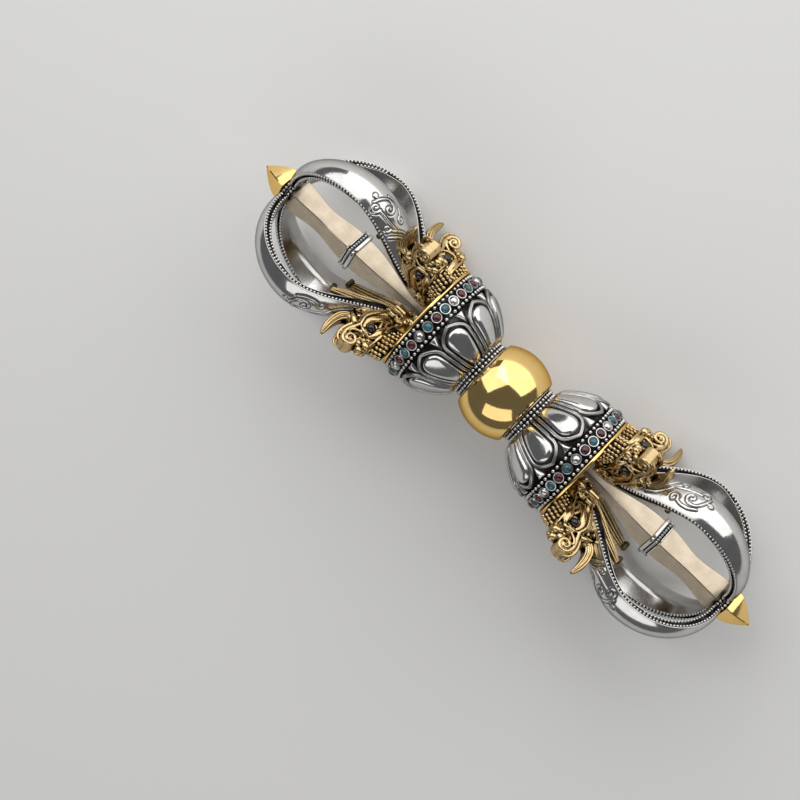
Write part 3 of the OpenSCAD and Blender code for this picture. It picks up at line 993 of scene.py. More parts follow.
@dataclass
class GemBand:
    """The dark band with its bead rows, bezels and stones."""

    end: End
    beads: BeadRows
    turn: float
    start: float = 26.9
    length: float = 6.8
    radius: float = 19.2
    bead: float = 1.3
    bead_count: int = 64
    stone_radius: float = 1.36
    stone_height: float = 1.85
    bezel_radius: float = 1.8
    stone_count: int = 32
    inner: float = 16.4
    row_offset: float = 2.55

    def build(self) -> None:
        """Makes the band, its beads, its bezels and its stones."""
        a, b, r = self.start, self.start + self.length, self.radius
        side = [(a, r - 0.2), (a + 0.2, r), (b - 0.2, r), (b, r - 0.2)]
        # Painted shade: the band between the stones and beads is set fully dark, past its oxidised colour.
        ring = lathe([(a, self.inner), *side, (b, self.inner)], 128, 1.0)
        form = ring.joined(*[self.bezel(k) for k in range(self.stone_count)])
        fit(self.end, "gem_band", "ground", form, [DARK_SILVER, SILVER], Slot.OXIDISED_SILVER)
        line_r = r + 0.2 * self.bead
        rows = ((a + b) / 2 - self.row_offset, (a + b) / 2 + self.row_offset)
        lines = [around(x, line_r, 256) for x in rows]
        pitch = even_pitch(2 * math.pi * line_r, self.bead_count)
        self.beads.fit(self.end, "gem_band", lines, True, pitch, self.bead)
        for kind, finish, slot in (
            (Stone.STUD, SILVER, Slot.POLISHED_SILVER),
            (Stone.GARNET, GARNET, Slot.GARNET),
            (Stone.TURQUOISE, TURQUOISE, Slot.TURQUOISE),
        ):
            places, node = kind.value
            stones = [self.cabochon(8 * run + k) for run in range(self.stone_count // 8) for k in places]
            fit(self.end, node, "set", stones[0].joined(*stones[1:]), [finish], slot)

    def seat(self, form: Form, number: int) -> Form:
        """A form made over +Z at a stone's place, turned to that place."""
        return form.turned(self.turn + number * 360.0 / self.stone_count)

    def round_form(
        self, outline: Sequence[tuple[float, float]], recess: Sequence[float] | float, segments: int
    ) -> Form:
        """Turns an outline about the stone's own axis.

        Args:
            outline: [radius, height over the axis of the sceptre] of each point.
            recess: recess depth at each point, or one for all.
            segments: steps round.

        Returns:
            The form over +Z, closed by its first and last ring.
        """
        angle = np.linspace(0.0, 2.0 * math.pi, segments, endpoint=False)
        mid, flat = self.start + self.length / 2, np.ones(segments)
        rings = [np.stack((mid + r * np.cos(angle), r * np.sin(angle), z * flat), -1) for r, z in outline]
        depth = np.repeat(np.broadcast_to(np.asarray(recess, float), (len(outline),)), segments)
        return Form.of(np.concatenate(rings), grid_faces(len(outline), segments, True), depth)

    def bezel(self, number: int) -> Form:
        """The thin cup round a stone.

        Args:
            number: the stone's number.

        Returns:
            The bezel in place.
        """
        seat, top, outer = self.radius - 0.3, self.radius + 0.95, self.bezel_radius
        outline = [(outer, seat), (outer, top - 0.2), (outer - 0.08, top - 0.04), (outer - 0.22, top)]
        outline += [(outer - 0.36, top - 0.06), (outer - 0.42, top - 0.22), (outer - 0.42, seat)]
        # Painted shade at the bezel's foot and on its inside.
        cup = self.round_form(outline, (1.0, 0.3, 0.0, 0.0, 0.0, 0.6, 1.0), 28)
        cup.finish[:] = 1
        return self.seat(cup, number)

    def cabochon(self, number: int) -> Form:
        """A round stone with a domed top.

        Args:
            number: its number.

        Returns:
            The stone in place.
        """
        seat, wall = self.radius - 0.15, 0.5 * self.stone_height
        radius, cap = self.stone_radius, self.stone_height - wall
        arc = np.linspace(0.0, math.pi / 2 - 0.04, 8)
        dome = [(radius * math.cos(a), seat + wall + cap * math.sin(a)) for a in arc]
        return self.seat(self.round_form([(0.02, seat), (radius, seat), *dome], 0.0, 24), number)


@dataclass
class RimPlate:
    """The gold plate that carries the heads."""

    end: End
    start: float = 33.7
    thick: float = 1.0
    radius: float = 19.8
    bore: float = 2.6

    def build(self) -> None:
        """Makes the plate with a rounded edge and a dull outer face, darkened with painted shade."""
        a, b, r = self.start, self.start + self.thick, self.radius
        profile = [
            (a, self.bore), (a, r - 0.3), (a + 0.12, r - 0.06), (a + 0.3, r), (b - 0.3, r),
            (b - 0.12, r - 0.06), (b, r - 0.3), (b, r - 1.4), (b - 0.12, r - 1.7), (b - 0.12, self.bore),
        ]
        # Painted shade on the inner face toward the heads and at the bore.
        form = lathe(profile, 128, (0.5, 0.2, 0.0, 0.0, 0.0, 0.0, 0.0, 0.1, 0.75, 0.75))
        fit(self.end, "rim_plate", "turned", form, [GOLD], Slot.POLISHED_GOLD)


def spiral(
    centre: tuple[float, float], radius: float, start: float, turns: float, inner: float, steps: int = 40
) -> np.ndarray:
    """A flat curl.

    Args:
        centre: its middle.
        radius: its outer radius.
        start: angle in degrees where it begins.
        turns: turns inward, negative for the other way round.
        inner: share of the radius where it ends.
        steps: points.

    Returns:
        The points from the outside in.
    """
    t = np.linspace(0.0, 1.0, steps)
    angle = math.radians(start) + turns * 2.0 * math.pi * t
    r = radius * (1.0 - (1.0 - inner) * t)
    return np.stack((centre[0] + r * np.cos(angle), centre[1] + r * np.sin(angle)), -1)


def rib_angle(number: int) -> float:
    """Angle of a rib and of its head from +Z toward +Y."""
    return 90.0 * number - 45.0


@dataclass
class Rib:
    """A curved rib: crowned outer face with an engraved scroll, beaded side walls, smooth inner face."""

    end: End
    number: int
    beads: BeadRows
    plate: float = PLATE_FACE
    root: tuple[float, float] = (6.6, 9.8)
    bulge: tuple[float, float] = (37.0, 28.6)
    tip: tuple[float, float] = (60.2, 4.6)
    width: float = 11.6
    widest: float = 0.42
    end_width: float = 4.0
    thick: float = 2.8
    edge_thick: float = 1.3
    end_thick: float = 2.8
    crown: float = 2.0
    bead: float = 1.0
    pitch: float = 1.2
    vine_start: float = 22.8
    vine_spread: float = 1.2
    vine_height: float = 0.17
    vine_half: float = 0.32
    vine_outline: float = 0.56

    def edge(self, u: np.ndarray) -> np.ndarray:
        """Outer edge.

        Args:
            u: places from 0 at the root over 1 at the bulge to 2 at the tip.

        Returns:
            [distance from the plate, radius] at each place.
        """
        low, high = np.clip(u, 0.0, 1.0) * math.pi / 2, np.clip(u - 1.0, 0.0, 1.0) * math.pi / 2
        (s0, r0), (s1, r1), (s2, r2) = self.root, self.bulge, self.tip
        s = np.where(u <= 1, s0 + (s1 - s0) * u, s1 + (s2 - s1) * np.sin(high))
        r = np.where(u <= 1, r0 + (r1 - r0) * np.sin(low) ** 1.25, r2 + (r1 - r2) * np.cos(high))
        return np.stack((s, r), -1)

    def out(self, u: np.ndarray) -> np.ndarray:
        """Direction square to the outer edge, away from the axis."""
        d = self.edge(np.minimum(u + 0.01, 2.0)) - self.edge(np.maximum(u - 0.01, 0.0))
        return np.stack((-d[:, 1], d[:, 0]), -1) / np.linalg.norm(d, axis=1)[:, None]

    def half(self, u: np.ndarray) -> np.ndarray:
        """Half the width at each place."""
        run = (u / 2) ** (math.log(0.5) / math.log(self.widest))
        return (self.end_width + (self.width - self.end_width) * np.sin(math.pi * run)) / 2

    def depth(self, u: np.ndarray) -> np.ndarray:
        """Depth of the keel on the inner side at each place."""
        return self.end_thick + (self.thick - self.end_thick) * np.sin(u * math.pi / 2) + 0.4

    def edge_depth(self, u: np.ndarray) -> np.ndarray:
        """Thickness of the side walls.

        Args:
            u: places along the rib.

        Returns:
            The thickness at each place.
        """
        low = np.cos(np.clip(u, 0.0, 1.0) * math.pi / 2) ** 2
        high = np.sin(np.clip(u - 1.0, 0.0, 1.0) * math.pi / 2) ** 0.7
        return self.edge_thick + (self.end_thick - self.edge_thick) * np.where(u <= 1.0, low, high)

    def scroll(self) -> list[np.ndarray]:
        """The raised vine on the outer face.

        Returns:
            Lines of [distance along from where the vine starts, distance across].
        """
        stem = smooth_path([(-6.5, -2.6), (-3.4, -2.2), (-0.6, -0.6), (1.2, 1.4), (2.2, 2.6)], 10)
        twin = smooth_path([(-6.5, -1.3), (-3.8, -0.8), (-1.6, 0.8), (-0.2, 2.6), (0.6, 3.8)], 10)
        over = smooth_path([(0.9, 0.9), (2.6, 1.3), (5.0, 1.9), (7.4, 2.2), (9.1, 2.5)], 10)
        under = smooth_path([(12.1, 2.4), (11.5, 0.4), (10.2, -1.5), (8.6, -2.0)], 10)
        low = smooth_path([(10.6, -2.5), (8.4, -3.2), (5.8, -3.1), (4.2, -2.5)], 10)
        return [
            np.vstack((stem, spiral((3.3, 3.0), 1.2, 215.0, -1.0, 0.12))),
            twin,
            np.vstack((over, spiral((10.5, 2.8), 1.5, 200.0, -1.1, 0.12))),
            np.vstack((under, spiral((7.6, -0.2), 1.75, -70.0, -1.15, 0.12))),
            np.vstack((low, spiral((2.7, -2.1), 1.35, -15.0, 1.05, 0.12))),
            spiral((13.2, 0.6), 0.7, 160.0, -0.9, 0.1),
        ]

    def engraving(self, run: np.ndarray, across: np.ndarray) -> tuple[np.ndarray, np.ndarray]:
        """Relief of the vine.

        Args:
            run: distance along from where the vine starts, by row.
            across: distance from the rib's middle, by row and column.

        Returns:
            Height of the raised lines in their sunk outline, and recess of the outline.
        """
        places = np.stack((np.broadcast_to(run[:, None], across.shape), across), -1).reshape(-1, 2)
        lines = [line * (1.0, self.vine_spread) for line in self.scroll()]
        near = np.min([distance_to_line(places, line) for line in lines], axis=0).reshape(across.shape)
        off, high = near - self.vine_outline, self.vine_height
        raised = high * np.exp(-((near / self.vine_half) ** 4)) - high * np.exp(-((off / 0.18) ** 2))
        return raised, np.exp(-((off / 0.17) ** 2))

    def build(self) -> None:
        """Makes the rib and its beads."""
        stretches = ((0.0, 0.3, 12), (0.3, 1.06, 160), (1.06, 2.0, 44))
        u = np.unique(np.concatenate([np.linspace(*stretch) for stretch in stretches]))
        edge, out, half = self.edge(u), self.out(u), self.half(u)
        top = self.crown * (0.35 + 0.65 * np.sin(u * math.pi / 2))
        v = np.linspace(-1.0, 1.0, 61)
        run = lengths(edge)
        begin = np.interp(self.vine_start, edge[:, 0][u <= 1], run[u <= 1])
        face_y = half[:, None] * v
        raised, groove = self.engraving(run - begin, face_y)
        flush = np.abs(v)[None, :] < 0.93
        # Painted shade and patina: a dark outline round the raised vine, and a thin dark line along the face's
        # edges as shade at the crease.
        rim = np.interp(np.abs(v), (0.0, 0.955, 0.975, 1.0), (0.0, 0.0, 0.55, 0.0))
        face_dark = np.maximum(np.where(flush, groove, 0.0), rim)
        face_n = top[:, None] * (1.0 - v**2) + np.where(flush, raised, 0.0)
        wall_y, wall_n, wall_dark = self.wall(u)
        keel = np.array((0.75, 0.5, 0.25, 0.0, -0.25, -0.5, -0.75))
        keel_n = -(self.edge_depth(u)[:, None] * np.abs(keel) + self.depth(u)[:, None] * (1.0 - np.abs(keel)))
        y = np.concatenate((face_y, wall_y, half[:, None] * keel, -wall_y[:, ::-1]), axis=1)
        n = np.concatenate((face_n, wall_n, keel_n, wall_n[:, ::-1]), axis=1)
        # Painted shade: the keel on the inner side is a little darker.
        inner = np.broadcast_to(0.2, keel_n.shape)
        dark = np.concatenate((face_dark, wall_dark, inner, wall_dark[:, ::-1]), axis=1)
        x = self.plate + edge[:, 0:1] + out[:, 0:1] * n
        z = edge[:, 1:2] + out[:, 1:2] * n
        form = closed_skin(np.stack((x, y, z), -1), dark).turned(rib_angle(self.number))
        node = f"rib_{self.number}"
        fit(self.end, node, "silver", form, [SILVER], Slot.POLISHED_SILVER, 42.0)
        self.beads.fit(self.end, node, self.rows(), False, self.pitch, self.bead)

    def wall(self, u: np.ndarray) -> tuple[np.ndarray, np.ndarray, np.ndarray]:
        """A side wall: a channel between two bright wires, darkened with painted shade where the beads sit.

        Args:
            u: places along the rib.

        Returns:
            Distance from the middle, distance inward from the outer edge and recess, by place and point.
        """
        half, deep = self.half(u)[:, None], self.edge_depth(u)[:, None]
        sunk = np.array((0.0, 0.34, 0.34, 0.0, 0.0))
        down = np.concatenate((0 * deep + 0.16, 0 * deep + 0.24, deep - 0.24, deep - 0.16, deep), axis=1)
        # Painted shade: the channel under the beads is set dark.
        dark = np.broadcast_to(np.array((0.0, 1.0, 1.0, 0.1, 0.1)), down.shape)
        return half - sunk, -down, dark

    def rows(self) -> list[np.ndarray]:
        """Lines of the bead rows.

        Returns:
            A line at the outer edge of each side wall, and one at its inner edge toward the tip.
        """
        lines = []
        for u, inner in ((np.linspace(0.15, 1.985, 320), False), (np.linspace(1.16, 1.97, 160), True)):
            edge, out = self.edge(u), self.out(u)
            n = 0.5 - self.edge_depth(u) if inner else np.full(len(u), -0.58)
            x, z = self.plate + edge[:, 0] + out[:, 0] * n, edge[:, 1] + out[:, 1] * n
            for side in (-1.0, 1.0):
                line = np.stack((x, side * (self.half(u) - 0.08), z), -1)
                lines.append(turn_about_axis(line, rib_angle(self.number)))
        return lines


class Clay:
    """Collects closed bodies, both sides at once, and fuses them into one skin."""

    def __init__(self) -> None:
        """Starts empty."""
        self.bodies: list[Form] = []

    def add(self, form: Form, both: bool = False) -> None:
        """Adds a body.

        Args:
            form: the body.
            both: whether its mirror image across the middle plane is added too.
        """
        self.bodies.append(form)
        if both:
            self.bodies.append(form.moved(form.points * np.array((1.0, -1.0, 1.0))))

    def line(self, points: Sequence[Sequence[float]], both: bool = True, steps: int = 7) -> None:
        """Adds a strand through points of [along, across, outward, radius]."""
        path = smooth_path(points, steps)
        self.add(strand(path[:, :3], np.maximum(path[:, 3], 0.08)), both)

    def fused(self, voxel: float, smooth: int) -> Form:
        """Fuses the bodies.

        Args:
            voxel: size of the smallest detail, in millimetres.
            smooth: rounds of smoothing.

        Returns:
            One skin, with painted shade in its hollows.
        """
        every = self.bodies[0].joined(*self.bodies[1:])
        draft = bpy.data.meshes.new("clay")
        draft.from_pydata(every.points, [], every.faces)
        work = bmesh.new()
        work.from_mesh(draft)
        bmesh.ops.recalc_face_normals(work, faces=work.faces)
        work.to_mesh(draft)
        work.free()
        holder = bpy.data.objects.new("clay", draft)
        bpy.context.scene.collection.objects.link(holder)
        fuse = holder.modifiers.new("fuse", "REMESH")
        fuse.mode = "VOXEL"
        fuse.voxel_size = voxel
        soft = holder.modifiers.new("soft", "SMOOTH")
        soft.factor = 0.5
        soft.iterations = smooth
        skin = bpy.data.meshes.new_from_object(holder.evaluated_get(bpy.context.evaluated_depsgraph_get()))
        points = np.empty(len(skin.vertices) * 3, np.float32)
        skin.vertices.foreach_get("co", points)
        normals = np.empty_like(points)
        skin.vertices.foreach_get("normal", normals)
        ends = np.empty(len(skin.edges) * 2, np.int32)
        skin.edges.foreach_get("vertices", ends)
        faces = [tuple(f.vertices) for f in skin.polygons]
        points, normals = points.reshape(-1, 3).astype(float), normals.reshape(-1, 3).astype(float)
        recess = hollows(points, normals, ends.reshape(-1, 2), voxel)
        for left in (holder, draft, skin):
            (bpy.data.objects if left is holder else bpy.data.meshes).remove(left)
        return Form.of(points, faces, recess)


def hollows(points: np.ndarray, normals: np.ndarray, edges: np.ndarray, voxel: float) -> np.ndarray:
    """How hollow a skin is at each point, which sets the painted shade in its hollows.

    Args:
        points: the skin's points.
        normals: its outward directions.
        edges: pairs of neighbouring points.
        voxel: mean distance of neighbours.

    Returns:
        0 on ridges and open faces, 1 in deep hollows.
    """
    a, b = np.concatenate((edges, edges[:, ::-1])).T
    count = np.maximum(np.bincount(a, minlength=len(points)), 1)

    def spread(values: np.ndarray, rounds: int) -> np.ndarray:
        """Averages values with their neighbours'.

        Args:
            values: values by point and column.
            rounds: how often they are averaged.

        Returns:
            The averaged values.
        """
        for _ in range(rounds):
            parts = [np.bincount(a, column[b], len(points)) / count for column in values.T]
            values = np.stack(parts, -1)
        return values

    fine = np.einsum("ij,ij->i", spread(points, 5) - points, normals) / voxel
    broad = np.einsum("ij,ij->i", spread(points, 48) - points, normals) / voxel
    # Painted shade: fine creases and broad hollows both darken, as occlusion.
    depth = np.clip(2.0 * fine, -0.5, 1.0) + np.clip(0.75 * broad, -0.4, 1.0)
    return np.clip(spread(depth[:, None], 1)[:, 0] + 0.06, 0.0, 1.0)


@dataclass
class MakaraHead:
    """A dragon head with an upturned snout, curled nose, dark eyes and a long lower jaw."""

    voxel: float = 0.204
    smooth: int = 2
    eye: tuple[float, float, float] = (8.7, 3.6, 19.5)
    eye_radius: float = 1.5
    curl: tuple[float, float] = (11.0, 26.8)
    neck: tuple[float, float] = (3.7, 6.2)
    skin: Form = field(init=False)

    def __post_init__(self) -> None:
        """Models the head once, over +Z, with its distance from the plate along X."""
        clay = Clay()
        self.mass(clay)
        ridges = self.snout(clay)
        self.lips(clay)
        self.face(clay)
        self.crest(clay)
        ridges += self.jaw(clay)
        skin = clay.fused(self.voxel, self.smooth)
        s, r = skin.points[:, 0], skin.points[:, 2]
        # Painted shade: the back of the head by the plate, the hollow under the snout and the lower jaw under
        # the rib are set dark where shade falls.
        mane = (s < 4.1) & (r > 13.4)
        mouth = (s > 15.4) & (s < 16.8 + 0.16 * (r - 22.0)) & (r > 22.3)
        jaw = (s > 9.8) & (r < np.interp(s, (9.8, 12.0, 18.0, 27.0), (9.6, 11.2, 14.6, 18.8)))
        dark = np.where(jaw, np.maximum(skin.recess, 0.85), skin.recess)
        skin.recess[:] = np.where(mane | mouth, 1.0, dark)
        along, across, up = self.eye
        eyes = [oval((along, side * across, up), (self.eye_radius,) * 3) for side in (-1.0, 1.0)]
        for eye in eyes:
            eye.finish[:] = 1
        self.skin = skin.joined(*self.knots(), *ridges, *eyes)

    def mass(self, clay: Clay) -> None:
        """The neck, the skull and the muzzle.

        Args:
            clay: where the forms are added.
        """
        angle = np.linspace(0.0, 2.0 * math.pi, 40, endpoint=False)
        wide, high = self.neck
        rings = [
            np.stack((np.full(40, s), wide * np.sin(angle), 17.0 + 0.3 * s + high * np.cos(angle)), -1)
            for s in np.linspace(0.0, 4.5, 6)
        ]
        clay.add(closed_skin(np.array(rings)))
        clay.add(oval((6.0, 0.0, 18.4), (3.4, 3.6, 6.0)))
        clay.add(oval((9.0, 0.0, 18.8), (3.6, 3.1, 5.4), 20.0))
        clay.add(oval((7.2, 0.0, 13.2), (3.6, 3.0, 3.6)))
        clay.add(oval((12.0, 0.0, 22.6), (2.7, 2.9, 3.4), 20.0))
        clay.add(oval((11.6, 0.0, 25.6), (2.4, 1.9, 2.8)))

    def snout(self, clay: Clay) -> list[Form]:
        """The upturned snout, and the fangs and teeth under it.

        Args:
            clay: where the snout's body and the teeth are added.

        Returns:
            The bright ridges along the snout's sides.
        """
        path = smooth_path([
            (12.6, 22.0, 1.9, 2.9), (14.6, 21.2, 1.5, 2.9), (16.6, 21.0, 1.4, 2.8), (18.1, 22.3, 1.45, 2.7),
            (18.9, 24.6, 1.4, 2.5), (19.1, 27.0, 1.25, 2.1), (18.9, 29.2, 1.0, 1.5), (18.4, 31.2, 0.4, 0.6),
        ], 7)
        clay.add(blade(path, 0.08))
        way = headings(path[:, :2])
        ridges = []
        for lift in (0.75, 0.1, -0.55):
            wide = path[:, 3] * math.sqrt(1.0 - lift**2)
            lifted = way * lift * path[:, 2:3]
            side = np.column_stack((path[:, 0] - lifted[:, 1], wide, path[:, 1] + lifted[:, 0]))
            radii = 0.1 + 0.17 * path[14:, 2]
            ridges += [strand(side[14:] * (1.0, flip, 1.0), radii, 8) for flip in (-1.0, 1.0)]
        clay.line([
            (13.4, 2.9, 21.8, 1.1), (14.6, 3.1, 21.0, 1.0), (15.8, 3.0, 20.2, 0.6), (16.9, 2.8, 19.4, 0.1),
        ])
        for k in range(3):
            clay.add(oval((14.3 - 0.3 * k, 2.5, 18.6 - 2.0 * k), (0.6, 0.45, 0.75), 20.0, 8, 12), True)
        return ridges

    def lips(self, clay: Clay) -> None:
        """The double lip that runs up from the mouth's corner and rolls into the nose curl.

        Args:
            clay: where the forms are added.
        """
        turn = spiral(self.curl, 2.45, 5.0, 1.5, 0.24, 26)
        lift = np.linspace(2.4, 2.9, len(turn))
        size = np.linspace(0.72, 0.5, len(turn))
        lip = [
            (9.3, 2.8, 9.8, 0.5), (9.7, 3.2, 11.4, 0.55), (10.8, 3.5, 13.6, 0.58), (11.9, 3.6, 15.6, 0.6),
            (12.5, 3.6, 17.5, 0.62), (12.3, 3.6, 19.3, 0.6), (11.9, 3.5, 20.8, 0.58), (12.4, 3.2, 22.3, 0.62),
            (13.2, 2.8, 24.0, 0.68), (13.6, 2.5, 25.6, 0.72),
        ]
        lip += [(s, w, r, k) for (s, r), w, k in zip(turn, lift, size)]
        clay.line(lip, True, 3)
        for w in (0.4, 1.1, 1.8):
            clay.line([(s, w, r, k) for (s, r), k in zip(turn, size)], True, 2)
        clay.line([
            (10.6, 2.7, 10.9, 0.42), (11.2, 2.9, 12.5, 0.44), (12.5, 3.0, 14.4, 0.46), (13.4, 3.1, 16.7, 0.48),
            (13.4, 3.1, 18.3, 0.48), (12.9, 3.1, 20.1, 0.46), (13.6, 2.9, 22.1, 0.5), (14.5, 2.4, 24.0, 0.54),
            (15.0, 2.1, 26.0, 0.56), (14.8, 2.0, 27.9, 0.52), (14.0, 2.0, 29.2, 0.42), (12.6, 2.0, 30.0, 0.2),
        ], True, 6)
        clay.add(oval((self.curl[0], 0.0, self.curl[1]), (2.4, 1.6, 2.4)))
        clay.add(oval((self.curl[0], 2.6, self.curl[1]), (0.6, 0.6, 0.6), 0.0, 8, 12), True)

    def face(self, clay: Clay) -> None:
        """The smooth ridge before the eye, the cheek lobe, the eye's rims and the lids.

        Args:
            clay: where the forms are added.
        """
        along, across, up = self.eye
        clay.line([
            (7.2, 2.5, 11.6, 0.6), (8.3, 2.7, 13.6, 1.1), (9.7, 2.7, 15.6, 1.4), (10.9, 2.7, 17.5, 1.3),
            (11.0, 2.8, 19.4, 0.95), (10.3, 3.1, 20.9, 0.5),
        ])
        clay.line([
            (4.9, 3.1, 14.6, 0.35), (5.4, 3.3, 16.6, 1.05), (5.8, 3.4, 19.0, 1.5), (6.3, 3.4, 21.2, 1.05),
            (7.3, 3.3, 22.6, 0.25),
        ])
        arc = np.linspace(1.9, 4.6, 9)
        rim = [(along + 1.95 * math.cos(a), across - 0.3, up + 1.95 * math.sin(a), 0.28) for a in arc]
        clay.line(rim, True, 3)
        for fold in (
            ((6.9, 3.6, 17.4, 0.5), (7.2, 3.6, 15.8, 0.55), (7.0, 3.4, 14.3, 0.4), (6.4, 3.1, 13.0, 0.2)),
            ((5.9, 3.4, 15.6, 0.4), (6.0, 3.3, 14.3, 0.45), (5.6, 3.1, 13.0, 0.3), (4.9, 2.9, 12.0, 0.15)),
            ((6.6, 3.3, 22.7, 0.3), (8.4, 3.6, 22.3, 0.55), (10.2, 3.6, 21.9, 0.55), (11.6, 3.4, 21.0, 0.3)),
            ((8.2, 3.0, 23.4, 0.3), (10.2, 3.2, 22.9, 0.42), (12.1, 3.2, 23.9, 0.45), (13.0, 3.1, 25.4, 0.4)),
        ):
            clay.line(fold)
        clay.add(oval((7.4, 3.0, 24.4), (0.85, 0.8, 0.85), 0.0, 8, 12), True)
        clay.add(oval((8.8, 2.9, 24.7), (0.55, 0.6, 0.55), 0.0, 8, 12), True)

    def crest(self, clay: Clay) -> None:
        """The tufts over the brow and the smooth lines in front of the mane.

        Args:
            clay: where the forms are added.
        """
        clay.line([
            (13.0, 0.0, 24.8, 0.8), (10.4, 0.0, 25.0, 0.9), (8.0, 0.0, 25.2, 0.9), (5.4, 0.0, 25.2, 0.4),
        ], False)
        for place in ((5.9, 2.3, 24.9), (8.5, 1.8, 25.6), (6.8, 0.7, 26.6)):
            clay.add(oval(place, (1.5, 1.05, 1.2), 20.0, 10, 16), True)
        clay.line([
            (3.3, 2.9, 9.4, 0.4), (2.9, 3.1, 10.9, 0.45), (3.5, 3.4, 12.5, 0.48), (4.4, 3.6, 14.2, 0.5),
            (4.6, 3.8, 16.0, 0.45), (4.5, 3.9, 18.4, 0.4), (4.6, 3.7, 21.0, 0.4), (4.8, 3.0, 23.2, 0.4),
            (4.9, 1.6, 24.7, 0.4), (4.9, 0.0, 25.2, 0.4),
        ])
        clay.line([
            (1.4, 3.5, 14.8, 0.3), (2.6, 3.7, 14.2, 0.36), (3.5, 3.85, 15.2, 0.36), (3.8, 3.95, 17.2, 0.3),
        ])

    def knots(self) -> list[Form]:
        """Locks of small knots side by side round the back of the head.

        Returns:
            The knots, each a small oval half sunk in the head.
        """
        arc = np.radians(np.linspace(-128.0, 128.0, 400))
        line = np.stack((self.neck[0] * np.sin(arc), self.neck[1] * np.cos(arc)), -1)
        run = lengths(line)
        made = []
        for lock, t in enumerate(np.interp(np.linspace(0.0, run[-1], 17), run, arc)):
            across, up = self.neck[0] * math.sin(t), self.neck[1] * math.cos(t)
            turn = math.degrees(math.atan2(across / self.neck[0] ** 2, up / self.neck[1] ** 2))
            for s in np.arange(0.5 + 0.5 * (lock % 2), 4.3, 1.28):
                size = 1.0 + 0.14 * math.sin(7.3 * lock + 3.1 * s)
                body = oval((0.0, 0.0, 0.0), (0.82 * size, 0.54, 0.6 * size), 0.0, 7, 12).turned(turn)
                made.append(body.moved(body.points + (s, across, 17.0 + 0.3 * s + up)))
        return made

    def jaw(self, clay: Clay) -> list[Form]:
        """The long lower jaw under the rib, with a rolled tip, and the throat's curls.

        Args:
            clay: where the jaw's body and the curls are added.

        Returns:
            The bright ridges along the jaw.
        """
        clay.add(oval((2.6, 0.0, 10.2), (3.4, 2.9, 3.2)))
        clay.add(oval((7.0, 0.0, 9.2), (3.2, 2.6, 2.7)))
        line = [
            (6.0, 8.8, 2.4, 2.6), (9.0, 8.6, 2.1, 2.5), (12.0, 9.4, 1.7, 2.3), (15.0, 10.9, 1.5, 2.2),
            (18.0, 12.7, 1.4, 2.1), (21.0, 14.3, 1.3, 2.0), (24.0, 15.8, 1.1, 1.8), (26.6, 17.2, 0.7, 1.3),
        ]
        clay.add(blade(smooth_path(line, 6), 0.0))
        ridges = []
        for lift, size in ((0.8, 0.3), (0.3, 0.26), (-0.25, 0.26), (-0.75, 0.3), (-1.02, 0.28)):
            narrow = math.sqrt(1 - 0.88 * lift**2)
            path = smooth_path([(s, w * narrow, r + lift * h) for s, r, h, w in line[1:]], 8)
            ridges += [strand(path * (1.0, flip, 1.0), np.full(len(path), size), 8) for flip in (-1.0, 1.0)]
        roll = np.column_stack((np.full(9, 26.6), np.linspace(-1.6, 1.6, 9), np.full(9, 16.0)))
        clay.add(strand(roll, np.full(9, 0.95)))
        for centre, radius, turns in (((5.2, 9.0), 1.7, 1.4), ((2.6, 8.4), 1.3, -1.3)):
            curl = spiral(centre, radius, 90.0, turns, 0.25, 22)
            path = np.stack((curl[:, 0], np.linspace(2.7, 3.3, 22), curl[:, 1]), -1)
            clay.add(strand(path, np.linspace(0.5, 0.36, 22), 8), True)
            clay.add(oval((centre[0], 2.2, centre[1]), (radius, 0.9, radius)), True)
        for k in range(8):
            grain = (6.9 + 0.6 * (k % 4), 2.8, 10.4 - 0.9 * (k // 4))
            clay.add(oval(grain, (0.32, 0.3, 0.36), 0.0, 6, 10), True)
        return ridges

    def build(self, end: End, number: int) -> None:
        """Puts one head on its place of the rim plate.

        Args:
            end: the end of the sceptre.
            number: the head's number.
        """
        form = self.skin.moved(self.skin.points + np.array((PLATE_FACE, 0.0, 0.0)))
        form = form.turned(rib_angle(number))
        fit(end, f"makara_{number}", "cast", form, [OLD_GOLD, EYE], Slot.ANTIQUE_GOLD, 70.0)


def blade(path: np.ndarray, cup: float) -> Form:
    """A flattened body along a path in the middle plane.

    Args:
        path: rows of [along, outward, half thickness, half width].
        cup: how far the edges lift, as a share of the half width.

    Returns:
        The closed body.
    """
    way = headings(path[:, :2])
    angle = np.linspace(0.0, 2.0 * math.pi, 22, endpoint=False)
    rings = []
    for (s, r, thick, wide), (ds, dr) in zip(path, way):
        lift = thick * np.sin(angle) + cup * wide * np.cos(angle) ** 2
        rings.append(np.stack((s - dr * lift, wide * np.cos(angle), r + ds * lift), -1))
    return closed_skin(np.array(rings))


def square_loft(
    stations: Sequence[tuple[float, float]],
    corner: float,
    bulge: float = 0.0,
    sides: int = 6,
    bore: tuple[float, float] | None = None,
) -> Form:
    """A square bar with softened corners along X.

    Args:
        stations: [along, half side] of each section.
        corner: width of the softened corner.
        bulge: how far a face swells in its middle, as a share of the half side.
        sides: points on each face.
        bore: radius and depth of a round hole in the first end, if it has one.

    Returns:
        The closed bar, its faces square to Y and Z.
    """
    rings = []
    for x, half in stations:
        cut = min(corner, 0.4 * half)
        v = np.linspace(-(half - cut), half - cut, sides)
        face = half + bulge * half * (1.0 - (v / half) ** 2)
        turns = ((1, 0), (0, 1), (-1, 0), (0, -1))
        ring = np.concatenate([np.stack((v * c + face * s, face * c - v * s), -1) for c, s in turns])
        rings.append(np.column_stack((np.full(len(ring), x), ring)))
    if bore:
        mouth = rings[0].copy()
        mouth[:, 1:] *= bore[0] / np.linalg.norm(mouth[:, 1:], axis=1)[:, None]
        rings = [mouth + (bore[1], 0.0, 0.0), mouth, *rings]
    return closed_skin(np.array(rings))


